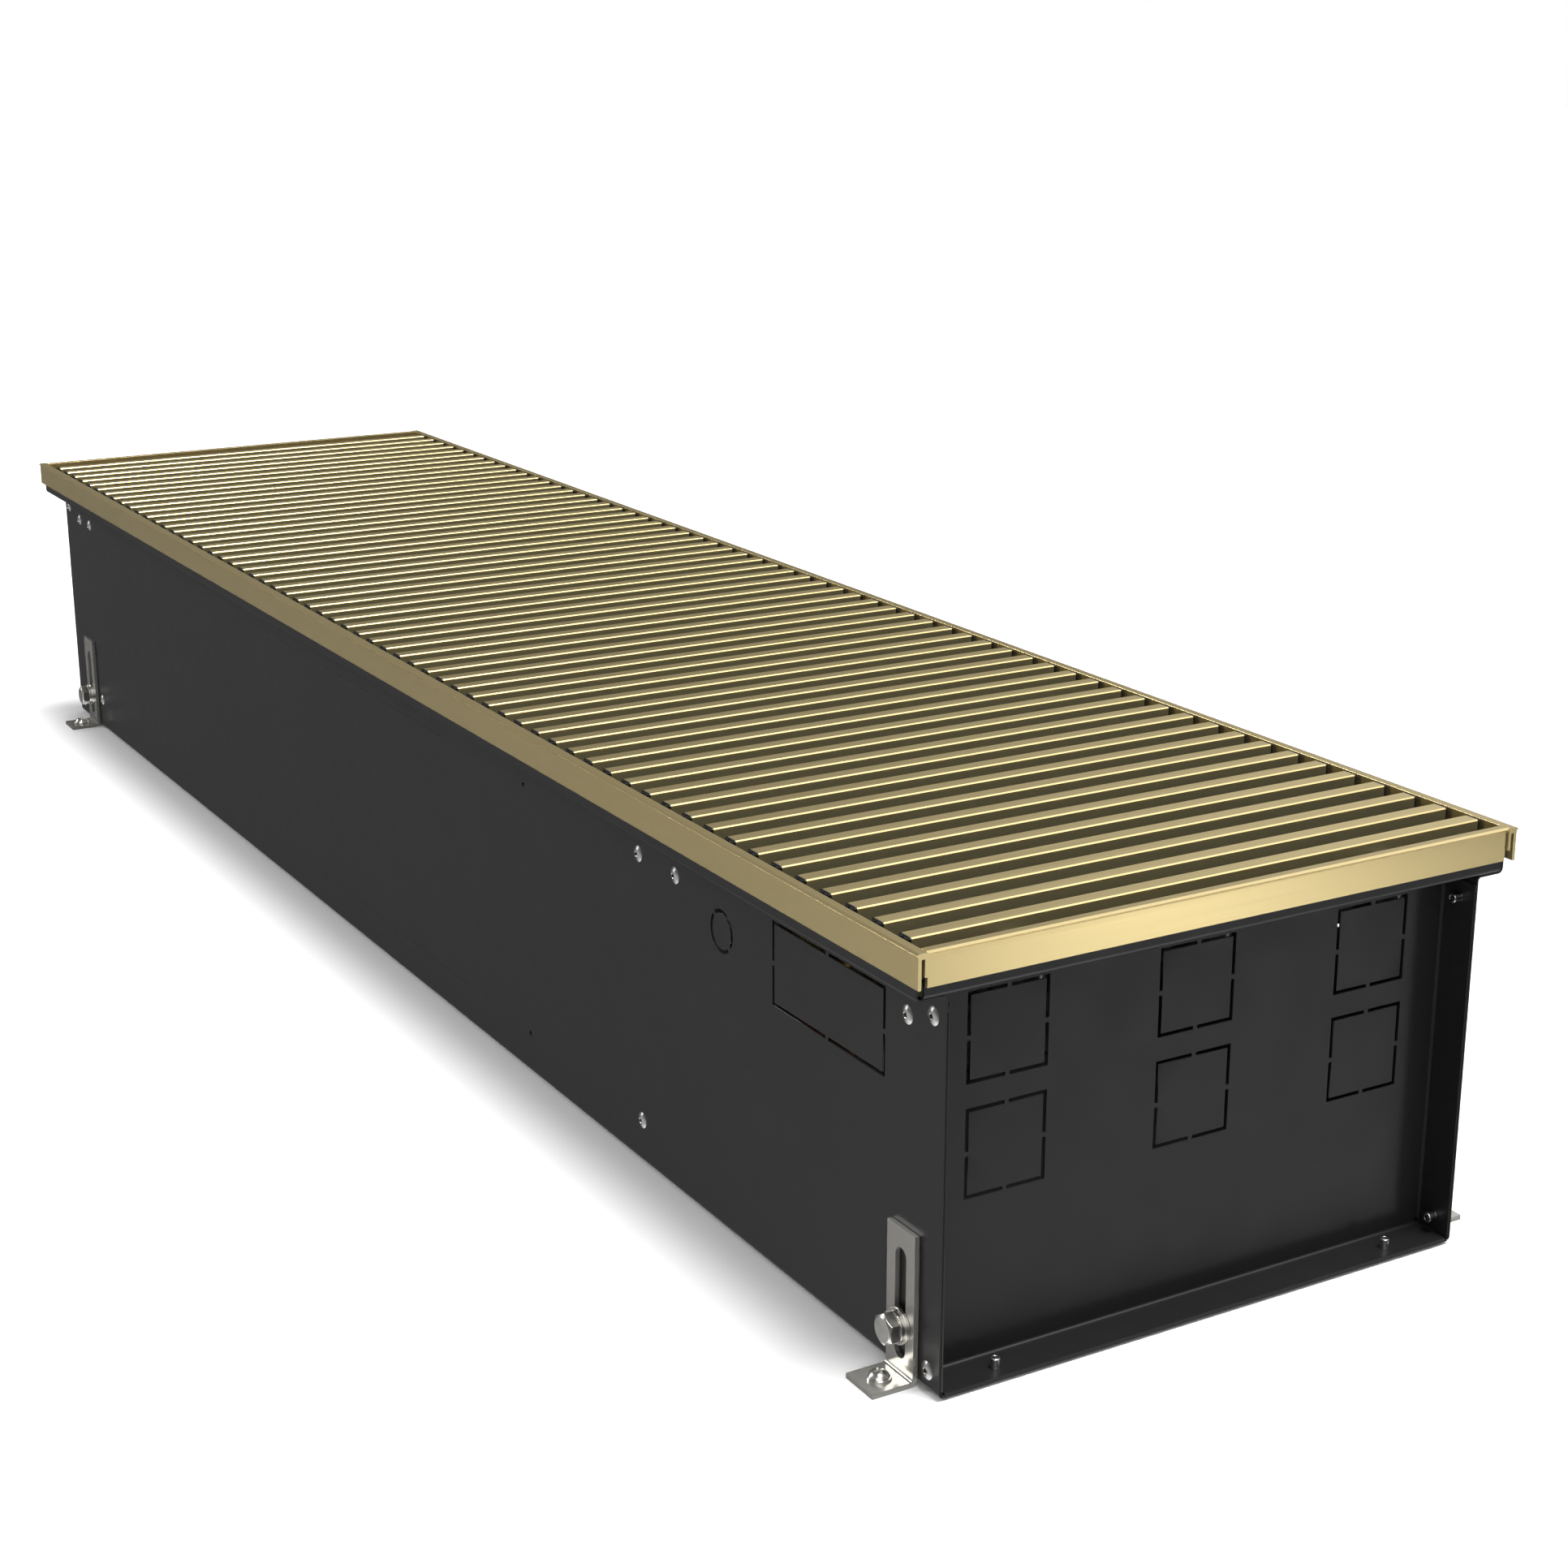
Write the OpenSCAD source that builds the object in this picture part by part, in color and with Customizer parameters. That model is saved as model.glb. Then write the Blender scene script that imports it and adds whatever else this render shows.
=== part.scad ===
// Trench convector heater: a bent steel trough with a finned water coil inside, a roll-up grille
// of cross slats, a frame that hooks over the trough's lips, and four slotted feet.
// +X is the valve end, +Y and -Y are the long sides, +Z is up and the floor is z = 0.

/* [Trough] */
// Length of the trough over its open ends
body_len = 1250; // [1100:1:1500]
// Width of the trough over its side walls
body_w = 285; // [270:1:310]
// Height from the trough's underside to the underside of its shelf
wall_h = 178.5; // [170:0.5:200]
// Thickness of the steel sheet
sheet_t = 1; // [0.8:0.1:1.4]
// Inner radius of every bend in the sheet
bend_r = 1.5; // [1:0.1:2]
// Gap between the floor and the trough's underside
body_lift = 1.5; // [1.4:0.1:3]
// Set-back of each end plate from the end of the trough
end_recess = 19; // [16:0.5:24]

/* [Frame] */
// Overhang of the frame past each side wall of the trough
frame_side_over = 17.5; // [16.5:0.1:20]
// Overhang of the frame past each end of the trough
frame_over = 4.5; // [4:0.1:6]
// Height of the frame's top face above the shelf
frame_rise = 21.5; // [20.5:0.1:24]
// Thickness of the top flange at the slot
flange_t = 2.6; // [2.2:0.1:3]
// Reach of the drip nose past the outer leg
nose_w = 1.1; // [0.8:0.1:1.4]
// Drop of the nose tip below the top face
nose_drop = 0.6; // [0.4:0.1:0.8]
// Thickness of the outer leg
outer_leg_t = 1.6; // [1.2:0.1:2]
// Height of the outer leg below the top face
outer_leg_h = 15.5; // [13:0.5:18]
// Thickness of the inner leg
inner_leg_t = 1.4; // [1.2:0.1:1.8]
// Height of the inner leg below the top face
inner_leg_h = 10.4; // [8:0.1:12]
// Clearance on each side of a lip in the frame's slot
lip_clear = 0.3; // [0.2:0.05:0.5]

/* [Grille] */
// Distance from slat to slat
slat_pitch = 20.2; // [18:0.1:24]
// Width of a slat
slat_w = 8.2; // [7:0.1:10]
// Height of a slat
slat_h = 19; // [17:0.1:20]
// Wall of the hollow slat
slat_wall = 1.3; // [1:0.1:1.6]
// Chamfer along a slat's edges
slat_chamfer = 0.6; // [0.4:0.1:0.8]
// Thickness of a slat's end cap
cap_t = 1.7; // [1.5:0.1:2.5]
// Gap between an end cap and the frame, with the grille in the middle
cap_gap = 1.1; // [0.9:0.1:1.4]
// Least gap between the outer slats and the frame's end profiles
slat_end_gap = 11; // [9:0.5:16]
// Distance that the loose grille lies towards the valve end
grille_shift = 2; // [0:0.5:4]
// Distance that the loose grille lies towards the right side
grille_side = 0.8; // [0:0.1:0.8]
// Thickness of the rest strips under the slats
strip_t = 2.2; // [1.5:0.1:2.5]
// Diameter of the linking cables
cable_d = 4; // [3:0.1:5]
// Diameter of the spacer sleeves
spacer_d = 9; // [7:0.1:10]
// Distance of each linking cable from the centre line
cable_y = 100; // [80:1:120]

/* [Knock-outs] */
// Side of the square pipe knock-outs
ko_size = 41; // [34:0.5:44]
// Width of the punched slots
ko_slot = 1.8; // [1.2:0.1:2.2]
// Width of the holding tabs
ko_tab = 2.2; // [1.5:0.1:3]
// Distance from the outer knock-outs of an end plate to the side walls
ko_edge = 23.5; // [20:0.5:32]
// Distance between the knock-out rows of an end plate
ko_pitch_z = 51.8; // [48:0.1:56]
// Height of the upper knock-out row's middle below the end plate's shelf
ko_drop = 30.3; // [28:0.1:36]
// Length of the knock-out in a side wall
ko_side_len = 92.7; // [70:0.1:96]
// Height of the knock-out in a side wall
ko_side_h = 40.2; // [34:0.1:44]
// Distance from the valve end of the trough to the middle of the side knock-out
ko_side_in = 90.4; // [86:0.1:110]
// Diameter of the round cable knock-out
ko_round_d = 21; // [16:0.5:24]

/* [Coil] */
// Width of a fin
fin_w = 150; // [140:1:170]
// Height of a fin
fin_h = 100; // [96:1:106]
// Thickness of a fin
fin_t = 0.5; // [0.3:0.1:0.8]
// Distance from fin to fin
fin_pitch = 10; // [8:0.5:16]
// Height of the fins' lower edge above the trough's bottom
fin_lift = 30; // [26:1:34]
// Outer diameter of the water tubes
tube_d = 15; // [12:0.5:16]
// Wall of the water tubes
tube_wall = 1; // [0.8:0.1:1.2]
// Distance between neighbouring tubes, both ways
tube_pitch = 50; // [46:1:50]
// Distance from the end of the trough to the rivets of the valve-end bulkhead
valve_bay = 265.5; // [250:0.5:300]
// Distance from the end of the trough to the rivets of the blank-end bulkhead
blank_bay = 62.5; // [60:0.5:80]
// Thread minor diameter in the G1/2 unions
union_bore_d = 18.6; // [16:0.1:19]
// Depth of the thread in the unions
union_bore_len = 14; // [12:0.5:16]

/* [Feet] */
// Width of a foot bracket
foot_w = 21.2; // [20:0.1:26]
// Thickness of a foot bracket
foot_t = 2.5; // [2:0.1:3]
// Height of a foot bracket
foot_h = 69.3; // [60:0.1:80]
// Reach of a foot plate from the trough's wall
foot_reach = 22.4; // [20:0.1:26]
// Distance from the valve end of the trough to its feet
foot_valve_x = 26.2; // [26.2:0.1:40]
// Distance from the blank end of the trough to its feet
foot_blank_x = 42; // [41:0.5:44]
// Height of the foot bolts above the floor
bolt_z = 24.5; // [22:0.5:30]
// Shank diameter of the foot bolts
bolt_d = 8; // [6:0.5:8]

/* [Rivets] */
// Diameter of a rivet's head
rivet_head_d = 8.6; // [7:0.1:9]
// Diameter of a rivet's shank
rivet_d = 4; // [3:0.1:4.8]

/* [Hidden] */
$fn = 40;

steel_paint = "#3A3A3A";
brass_alu = "#CDBB8A";
zinc = "#B9B8B4";
copper = "#B87350";
bright_alu = "#C9CCCF";
black_plastic = "#1B1B1D";

// Overrun of every cut past the sheet that it goes through
over = 1;
// Outer radius of every bend
bend_out = bend_r + sheet_t;

// Heights of the trough
floor_z = body_lift + sheet_t;
shelf_z = body_lift + wall_h;
shelf_top = shelf_z + sheet_t;
top_z = shelf_top + frame_rise;

// Half sizes of the trough and the faces that the other sheets seat on
half_len = body_len / 2;
half_w = body_w / 2;
wall_in = half_w - sheet_t;
end_x = half_len - end_recess;

// Slot and legs of the frame's section, measured in from the nose tip
slot_w = sheet_t + 2 * lip_clear;
leg_in = nose_w + outer_leg_t;
flange_w = leg_in + slot_w + inner_leg_t;
nose_under = nose_drop + nose_w;
slot_top = top_z - flange_t;
frame_half = half_w + frame_side_over;
frame_end = half_len + frame_over;
opening_half_w = frame_half - flange_w;
opening_half_len = frame_end - flange_w;

// Lips that the frame's slots drop over
lip_out = frame_half - leg_in - lip_clear;
lip_in = lip_out - sheet_t;
end_lip_out = frame_end - leg_in - lip_clear;
end_lip_in = end_lip_out - sheet_t;
end_shelf_z = shelf_top;
corner_gap = 0.3;
end_shelf_half = opening_half_w - corner_gap;
end_leg_half = opening_half_w - 2 * corner_gap;

// Side flanges of the end plates and bulkheads
tab_z0 = floor_z + bend_r + corner_gap;
tab_z1 = shelf_z - 2 * bend_r;
plate_half = wall_in - bend_out;
floor_tab_half = wall_in - bend_r - 2 * corner_gap;

// Knock-outs: the top row of an end plate, and the pair in each side wall
ko_z = end_shelf_z - ko_drop;
ko_pitch_y = half_w - ko_edge - ko_size / 2;
ko_side_drop = 30.5;
ko_side_z = shelf_z - ko_side_drop;
ko_side_x = half_len - ko_side_in;
ko_round_gap = 46.2;
ko_round_x = ko_side_x - ko_side_len / 2 - ko_round_gap;
relief_d = 2.6;

// Rivets: a domed head, a shank through two sheets and a set tail with its mandrel
rivet_head_h = 1.3;
rivet_tail_d = 1.2 * rivet_d;
rivet_tail_len = 4.7;
rivet_tail_edge = 0.6;
rivet_clear = 0.1;
rivet_hole_d = rivet_d + 2 * rivet_clear;
mandrel_d = 0.55 * rivet_d;
mandrel_pit = 1.6;
rivet_row_drop = 17;
rivet_low_rise = 21.5;
rivet_row_z = shelf_z - rivet_row_drop;
rivet_low_z = floor_z + rivet_low_rise;
end_rivet_in = 9;
end_rivet_rise = 8.4;
end_rivet_drop = 11;
end_rivet_x = half_len - end_rivet_in;
end_rivet_low_z = floor_z + end_rivet_rise;
end_rivet_high_z = shelf_z - end_rivet_drop;
floor_rivet_in = 7.5;
floor_rivet_x = half_len - floor_rivet_in;
floor_rivet_y = 0.77 * wall_in;
spare_hole_d = 3.2;
spare_hole_gap = 130;
spare_hole_x = half_len - valve_bay - spare_hole_gap;

// Struts: channels between the walls with a riveted tab at each end
strut_w = 12;
strut_t = 1.2;
strut_edge = 6;
strut_tab_h = 12;
strut_top = rivet_row_z + strut_tab_h / 2 + strut_t;
strut_valve_gap = 1.8;
strut_middle_gap = 37.5;
strut_blank_in = 36.4;
strut_valve_x = end_x - sheet_t - strut_w / 2 - strut_valve_gap;
strut_middle_x = half_len - valve_bay + strut_middle_gap;
strut_blank_x = -(half_len - strut_blank_in);

// Bulkheads: the riveted flange of each points away from the fins
bulk_flange = 14;
bulk_valve_x = half_len - valve_bay - bulk_flange / 2 - bend_out;
bulk_blank_x = -(half_len - blank_bay - bulk_flange / 2 - bend_out);
bulk_z0 = floor_z + bend_r + corner_gap;
bulk_z1 = strut_top + strut_t;

// Coil: six tubes in three columns and two rows, joined by return bends
fin_z0 = body_lift + fin_lift;
tube_row_low = fin_z0 + (fin_h - tube_pitch) / 2;
tube_row_high = tube_row_low + tube_pitch;
tube_columns = [tube_pitch, 0, -tube_pitch];
tube_rows = [tube_row_low, tube_row_high];
tube_clear = 0.15;
// Clearance round a screw in its thread and a tube in its sleeve
thread_clear = 0.05;
tube_past_blank = 13;
tube_past_valve = 21;
tube_x0 = bulk_blank_x - sheet_t - tube_past_blank;
tube_x1 = bulk_valve_x + sheet_t + tube_past_valve;
fin_margin = 4;
fin_x0 = bulk_blank_x + fin_margin;
fin_x1 = bulk_valve_x - fin_margin;
fin_n = floor((fin_x1 - fin_x0 - fin_t) / fin_pitch) + 1;
fin_start = (fin_x0 + fin_x1 - (fin_n - 1) * fin_pitch - fin_t) / 2;
bend_run_r = tube_pitch / 2;
sleeve_len = 8;
sleeve_wall = 1;

// Unions: a sleeve on the tube, then a hexagon with the threaded bore
union_hex = 27;
union_bridge = 6;
union_water_d = 12;
union_x0 = tube_x1 - sleeve_len;
union_hex_x = tube_x1 + union_bridge / 2;
union_x1 = union_hex_x + union_bridge / 2 + union_bore_len;
vent_x = union_hex_x + union_bridge;
vent_hex = 12;
vent_h = 9;
vent_neck_d = 8;
vent_z0 = tube_row_high + union_hex / 2;
vent_screw_d = 5;
vent_screw_len = 5;
vent_screw_up = 4;
vent_head_d = 6;
vent_slot_w = 1;
vent_screw_z = vent_z0 + vent_h - vent_screw_len + thread_clear;

// Feet and their hardware, from the trough's wall outwards
foot_slide_clear = 0.1;
foot_in = half_w + foot_slide_clear;
foot_out = foot_in + foot_t;
slot_clear = 0.2;
foot_slot_w = bolt_d + 2 * slot_clear;
foot_slot_z0 = 9.3;
foot_slot_top = 9.1;
foot_slot_z1 = foot_h - foot_slot_top;
flat_washer_in = foot_out + foot_slide_clear;
flat_washer_d = 2.1 * bolt_d;
flat_washer_t = 1.6;
spring_washer_in = flat_washer_in + flat_washer_t;
spring_washer_d = 1.85 * bolt_d;
spring_washer_t = 2;
spring_cut = 1.6;
bolt_head_in = spring_washer_in + spring_washer_t;
bolt_head_h = 0.66 * bolt_d;
bolt_head_af = 1.625 * bolt_d;
bolt_len = 2 * bolt_d;
washer_clear = 0.2;
nut_d = 1.5 * bolt_d;
nut_h = 5.5;
foot_y = half_w + foot_reach;
foot_screw_in = 9.8;
foot_screw_y = foot_y - foot_screw_in;
foot_screw_d = 5;
foot_screw_clear = 0.2;
foot_washer_d = 11;
foot_washer_t = 1;
pan_head_d = 10;
pan_head_h = 3;
cross_len = 6;
cross_w = 1.3;
cross_depth = 1.5;
floor_clear = 0.3;

// Grille: slats that rest on two strips, with sleeves on two cables between them
slat_z0 = shelf_top + strip_t;
slat_half = opening_half_w - cap_gap - cap_t;
slat_room = 2 * (opening_half_len - slat_end_gap) - slat_w;
slat_n = floor(slat_room / slat_pitch) + 1;
slat_start = grille_shift - (slat_n - 1) * slat_pitch / 2;
slat_end = grille_shift + (slat_n - 1) * slat_pitch / 2;
cable_z = slat_z0 + 0.37 * slat_h;
cable_clear = 0.2;
cable_out = 6;
stop_len = 5;
plug_len = 6;
plug_clear = 0.1;
cap_base_t = 0.4 * cap_t;
// Half width and place of an end cap's two lobes, in shares of the slat's width
lobe_share = [0.17, 0.27];
lobe_at_share = [-0.29, 0.19];
strip_w = 8;
strip_y = lip_in - bend_out - strip_w / 2;
strip_len = 2 * (end_x + bend_r - corner_gap);

// One quarter of a bend: the ring between bend_r and bend_out, in the quadrant (sx, sy)
module bend(sx, sy, r = bend_r, t = sheet_t) {
    intersection() {
        difference() {
            circle(r + t);
            circle(r);
        }
        translate([sx < 0 ? -r - t : 0, sy < 0 ? -r - t : 0]) square(r + t);
    }
}

// A flat strip from corner to corner
module strip(x0, x1, y0, y1) translate([x0, y0]) square([x1 - x0, y1 - y0]);

// A block from corner to corner
module block(x0, x1, y0, y1, z0, z1) translate([x0, y0, z0]) cube([x1 - x0, y1 - y0, z1 - z0]);

// A YZ outline run along X, and an XZ outline run along Y, both centred
module along_x(len) translate([-len / 2, 0, 0]) rotate([90, 0, 90]) linear_extrude(len) children();
module along_y(len) translate([0, len / 2, 0]) rotate([90, 0, 0]) linear_extrude(len) children();

// Round pieces and holes along X and Y, from one face to the other
module round_x(d, x0, x1) translate([x0, 0, 0]) rotate([0, 90, 0]) cylinder(d = d, h = x1 - x0);
module round_y(d, y0, y1) translate([0, y0, 0]) rotate([-90, 0, 0]) cylinder(d = d, h = y1 - y0);

// Slots of a rectangular knock-out, left whole at the middle of each side
module ko_outline(w, h) {
    difference() {
        square([w, h], center = true);
        square([w - 2 * ko_slot, h - 2 * ko_slot], center = true);
        square([ko_tab, h + over], center = true);
        square([w + over, ko_tab], center = true);
    }
}

// Slots of the round knock-out, held by two tabs
module ko_ring() {
    difference() {
        circle(d = ko_round_d);
        circle(d = ko_round_d - 2 * ko_slot);
        rotate(45) square([ko_tab, ko_round_d + over], center = true);
    }
}

// One side of the trough's outline: half the floor, the wall, the shelf and the lip
module trough_half() {
    strip(0, wall_in - bend_r, body_lift, floor_z);
    translate([wall_in - bend_r, floor_z + bend_r]) bend(1, -1);
    strip(wall_in, half_w, floor_z + bend_r, shelf_z - bend_r);
    translate([half_w + bend_r, shelf_z - bend_r]) bend(-1, 1);
    strip(half_w + bend_r, lip_in - bend_r, shelf_z, shelf_top);
    translate([lip_in - bend_r, shelf_top + bend_r]) bend(1, -1);
    strip(lip_in, lip_out, shelf_top + bend_r, slot_top);
}

// Everything that is punched through both side walls
module wall_cuts() {
    span = body_w + 2 * over;
    for (p = wall_rivet_places) translate([p[0], 0, p[1]]) round_y(rivet_hole_d, -span / 2, span / 2);
    for (z = [rivet_row_z, rivet_low_z])
        translate([spare_hole_x, 0, z]) round_y(spare_hole_d, -span / 2, span / 2);
    for (x = foot_places)
        translate([x, 0, bolt_z]) round_y(bolt_d + 2 * washer_clear, -span / 2, span / 2);
    translate([ko_side_x, 0, ko_side_z]) along_y(span) ko_outline(ko_side_len, ko_side_h);
    translate([ko_round_x, 0, ko_side_z]) along_y(span) ko_ring();
}

wall_rivet_places = [
    for (s = [1, -1]) for (z = [end_rivet_low_z, end_rivet_high_z]) [s * end_rivet_x, z],
    for (z = [rivet_row_z, rivet_low_z]) [half_len - valve_bay, z],
    for (z = [rivet_row_z, rivet_low_z]) [-(half_len - blank_bay), z],
    [strut_valve_x, rivet_row_z], [strut_middle_x, rivet_row_z], [strut_blank_x, rivet_row_z]
];
foot_places = [half_len - foot_valve_x, -(half_len - foot_blank_x)];

module trough() color(steel_paint) difference() {
    along_x(body_len) {
        trough_half();
        mirror([1, 0]) trough_half();
    }
    wall_cuts();
    for (sx = [1, -1]) for (sy = [1, -1])
        translate([sx * floor_rivet_x, sy * floor_rivet_y, body_lift - over])
            cylinder(d = rivet_hole_d, h = sheet_t + 2 * over);
}

// End plate at +X: the plate, its floor tab and its shelf with the lip, then the two side tabs
module end_plate() color(steel_paint) difference() {
    union() {
        along_y(2 * floor_tab_half) {
            translate([end_x + bend_r, floor_z + bend_out]) bend(-1, -1);
            strip(end_x + bend_r, half_len, floor_z, floor_z + sheet_t);
        }
        along_y(2 * plate_half) strip(end_x - sheet_t, end_x, floor_z + bend_out, end_shelf_z - bend_r);
        along_y(2 * plate_half) translate([end_x + bend_r, end_shelf_z - bend_r]) bend(-1, 1);
        along_y(2 * end_shelf_half) {
            strip(end_x + bend_r, end_lip_in - bend_r, end_shelf_z, end_shelf_z + sheet_t);
            translate([end_lip_in - bend_r, end_shelf_z + bend_out]) bend(1, -1);
            strip(end_lip_in, end_lip_out, end_shelf_z + bend_out, slot_top);
        }
        for (s = [1, -1]) translate([0, 0, tab_z0]) linear_extrude(tab_z1 - tab_z0) {
            translate([end_x - sheet_t / 2, s * (plate_half - sheet_t / 2)]) square(sheet_t, center = true);
            translate([end_x + bend_r, s * plate_half]) bend(-1, s);
            translate([0, s * (wall_in - sheet_t / 2)])
                strip(end_x + bend_r, half_len, -sheet_t / 2, sheet_t / 2);
        }
    }
    for (i = [-1, 0, 1]) for (j = [0, 1])
        translate([end_x, i * ko_pitch_y, ko_z - j * ko_pitch_z]) along_x(end_recess)
            ko_outline(ko_size, ko_size);
    for (s = [1, -1]) {
        translate([0, s * plate_half, floor_z + bend_out])
            round_x(relief_d, end_x - bend_out, end_x + bend_out);
        for (z = [end_rivet_low_z, end_rivet_high_z])
            translate([end_rivet_x, s * wall_in, z]) round_y(rivet_hole_d, -2 * sheet_t, 2 * sheet_t);
        translate([floor_rivet_x, s * floor_rivet_y, floor_z - over])
            cylinder(d = rivet_hole_d, h = sheet_t + 2 * over);
    }
}

// Section of the frame, in distance from the nose tip and height
module frame_section() {
    polygon([
        [-flange_w, top_z], [-nose_w - nose_drop, top_z], [0, top_z - nose_drop],
        [-nose_w, top_z - nose_under], [-nose_w, top_z - outer_leg_h],
        [-leg_in, top_z - outer_leg_h], [-leg_in, slot_top], [-leg_in - slot_w, slot_top],
        [-leg_in - slot_w, top_z - inner_leg_h], [-flange_w, top_z - inner_leg_h]
    ]);
}

module frame_side(s) color(brass_alu) mirror([0, s < 0 ? 1 : 0, 0])
    along_x(2 * frame_end) translate([frame_half, 0]) frame_section();

// End profile: its flange meets the side profiles, and its legs stop short of them
module frame_cross(s) color(brass_alu) mirror([s < 0 ? 1 : 0, 0, 0]) {
    along_y(2 * end_leg_half) translate([frame_end, 0]) frame_section();
    along_y(2 * opening_half_w) translate([frame_end, 0]) intersection() {
        frame_section();
        strip(-flange_w, 0, slot_top, top_z);
    }
}

module rest_strip(s) color(black_plastic)
    translate([0, s * strip_y, 0]) along_x(strip_len) strip(-strip_w / 2, strip_w / 2, shelf_top, slat_z0);

// Strut at x: a channel between the walls, with a tab turned down at each end
module strut(x) color(zinc) translate([x, 0, 0]) difference() {
    union() {
        along_y(2 * wall_in) strip(-strut_w / 2, strut_w / 2, strut_top - strut_t, strut_top);
        for (s = [1, -1]) {
            along_y(2 * (wall_in - 2 * strut_edge))
                strip(min(s * strut_w / 2, s * (strut_w / 2 - strut_t)),
                    max(s * strut_w / 2, s * (strut_w / 2 - strut_t)), strut_top - strut_edge, strut_top);
            translate([0, s * (wall_in - strut_t / 2), 0])
                along_x(strut_w)
                    strip(-strut_t / 2, strut_t / 2, strut_top - strut_t - strut_tab_h, strut_top);
        }
    }
    translate([0, 0, rivet_row_z]) round_y(rivet_hole_d, -half_w, half_w);
}

// Bulkhead with its flanges towards +X: the plate, the bends and the riveted flanges
module bulkhead() color(zinc) difference() {
    translate([0, 0, bulk_z0]) linear_extrude(bulk_z1 - bulk_z0) {
        strip(0, sheet_t, -plate_half, plate_half);
        for (s = [1, -1]) {
            translate([bend_out, s * plate_half]) bend(-1, s);
            translate([0, s * (wall_in - sheet_t / 2)])
                strip(bend_out, bend_out + bulk_flange, -sheet_t / 2, sheet_t / 2);
        }
    }
    for (y = tube_columns) for (z = tube_rows)
        translate([0, y, z]) round_x(tube_d + 2 * tube_clear, -over, sheet_t + over);
    for (z = [rivet_row_z, rivet_low_z])
        translate([bend_out + bulk_flange / 2, 0, z]) round_y(rivet_hole_d, -half_w, half_w);
}

module bulkhead_valve() translate([bulk_valve_x, 0, 0]) bulkhead();
module bulkhead_blank() translate([bulk_blank_x, 0, 0]) mirror([1, 0, 0]) bulkhead();

module coil_fins() color(bright_alu) for (i = [0 : fin_n - 1])
    translate([fin_start + fin_t / 2 + i * fin_pitch, 0, 0]) along_x(fin_t) difference() {
        strip(-fin_w / 2, fin_w / 2, fin_z0, fin_z0 + fin_h);
        for (y = tube_columns) for (z = tube_rows) translate([y, z]) circle(d = tube_d + 2 * tube_clear);
    }

module coil_tubes() color(copper) for (y = tube_columns) for (z = tube_rows)
    translate([0, y, z]) difference() {
        round_x(tube_d, tube_x0, tube_x1);
        round_x(tube_d - 2 * tube_wall, tube_x0 - over, tube_x1 + over);
    }

// Return bend in the XY plane: half a ring towards +X, and a sleeve over each tube end at x = 0
module return_bend() {
    translate([sleeve_wall, 0, 0]) rotate(-90) rotate_extrude(angle = 180)
        translate([bend_run_r, 0]) difference() {
            circle(d = tube_d);
            circle(d = tube_d - 2 * tube_wall);
        }
    for (s = [1, -1]) translate([0, s * bend_run_r, 0]) difference() {
        round_x(tube_d + 2 * sleeve_wall, -sleeve_len, sleeve_wall);
        round_x(tube_d + 2 * thread_clear, -sleeve_len - over, 0);
        round_x(tube_d - 2 * tube_wall, -over, sleeve_wall + over);
    }
}

// At the blank end the bends join the two rows of each column
module return_bends_blank() color(copper) for (y = tube_columns)
    translate([tube_x0, y, tube_row_low + bend_run_r]) rotate([90, 0, 0]) mirror([1, 0, 0]) return_bend();

// At the valve end they join the columns: the first two at the top, the last two at the bottom
module return_bends_valve() color(copper) for (p = [[1, tube_row_high], [-1, tube_row_low]])
    translate([tube_x1, p[0] * bend_run_r, p[1]]) return_bend();

// Union on a tube end, with its threaded bore open towards +X
module pipe_union() difference() {
    union() {
        round_x(tube_d + 4 * sleeve_wall, union_x0, union_hex_x);
        translate([union_hex_x, 0, 0]) rotate([0, 90, 0]) rotate(30)
            cylinder(d = union_hex / cos(30), h = union_x1 - union_hex_x, $fn = 6);
    }
    round_x(tube_d + 2 * thread_clear, union_x0 - over, tube_x1);
    round_x(union_water_d, tube_x1 - over, union_x1 - over);
    round_x(union_bore_d, union_x1 - union_bore_len, union_x1 + over);
}

module union_supply() color("#B5A05E") translate([0, tube_pitch, tube_row_low]) pipe_union();

// The return union also has the vent's seat on its upper flat
module union_return() color("#B5A05E") difference() {
    translate([0, -tube_pitch, tube_row_high]) pipe_union();
    translate([vent_x, -tube_pitch, tube_row_high])
        cylinder(d = vent_neck_d / 2, h = union_hex);
}

module vent_body() color(zinc) translate([vent_x, -tube_pitch, vent_z0]) difference() {
    union() {
        cylinder(d = vent_neck_d, h = vent_h);
        translate([0, 0, vent_h / 3]) cylinder(d = vent_hex / cos(30), h = vent_h / 2, $fn = 6);
    }
    translate([0, 0, vent_h - vent_screw_len]) cylinder(d = vent_screw_d + 2 * thread_clear, h = vent_h);
    translate([0, 0, -over]) cylinder(d = vent_neck_d / 4, h = vent_h);
}

module vent_screw() color(zinc) translate([vent_x, -tube_pitch, vent_screw_z]) difference() {
    union() {
        cylinder(d = vent_screw_d, h = vent_screw_len + vent_screw_up / 2);
        translate([0, 0, vent_screw_len + vent_screw_up / 4]) cylinder(d = vent_head_d, h = vent_screw_up / 2);
    }
    translate([0, 0, vent_screw_len + vent_screw_up])
        cube([vent_head_d + over, vent_slot_w, vent_screw_up], center = true);
}

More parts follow.
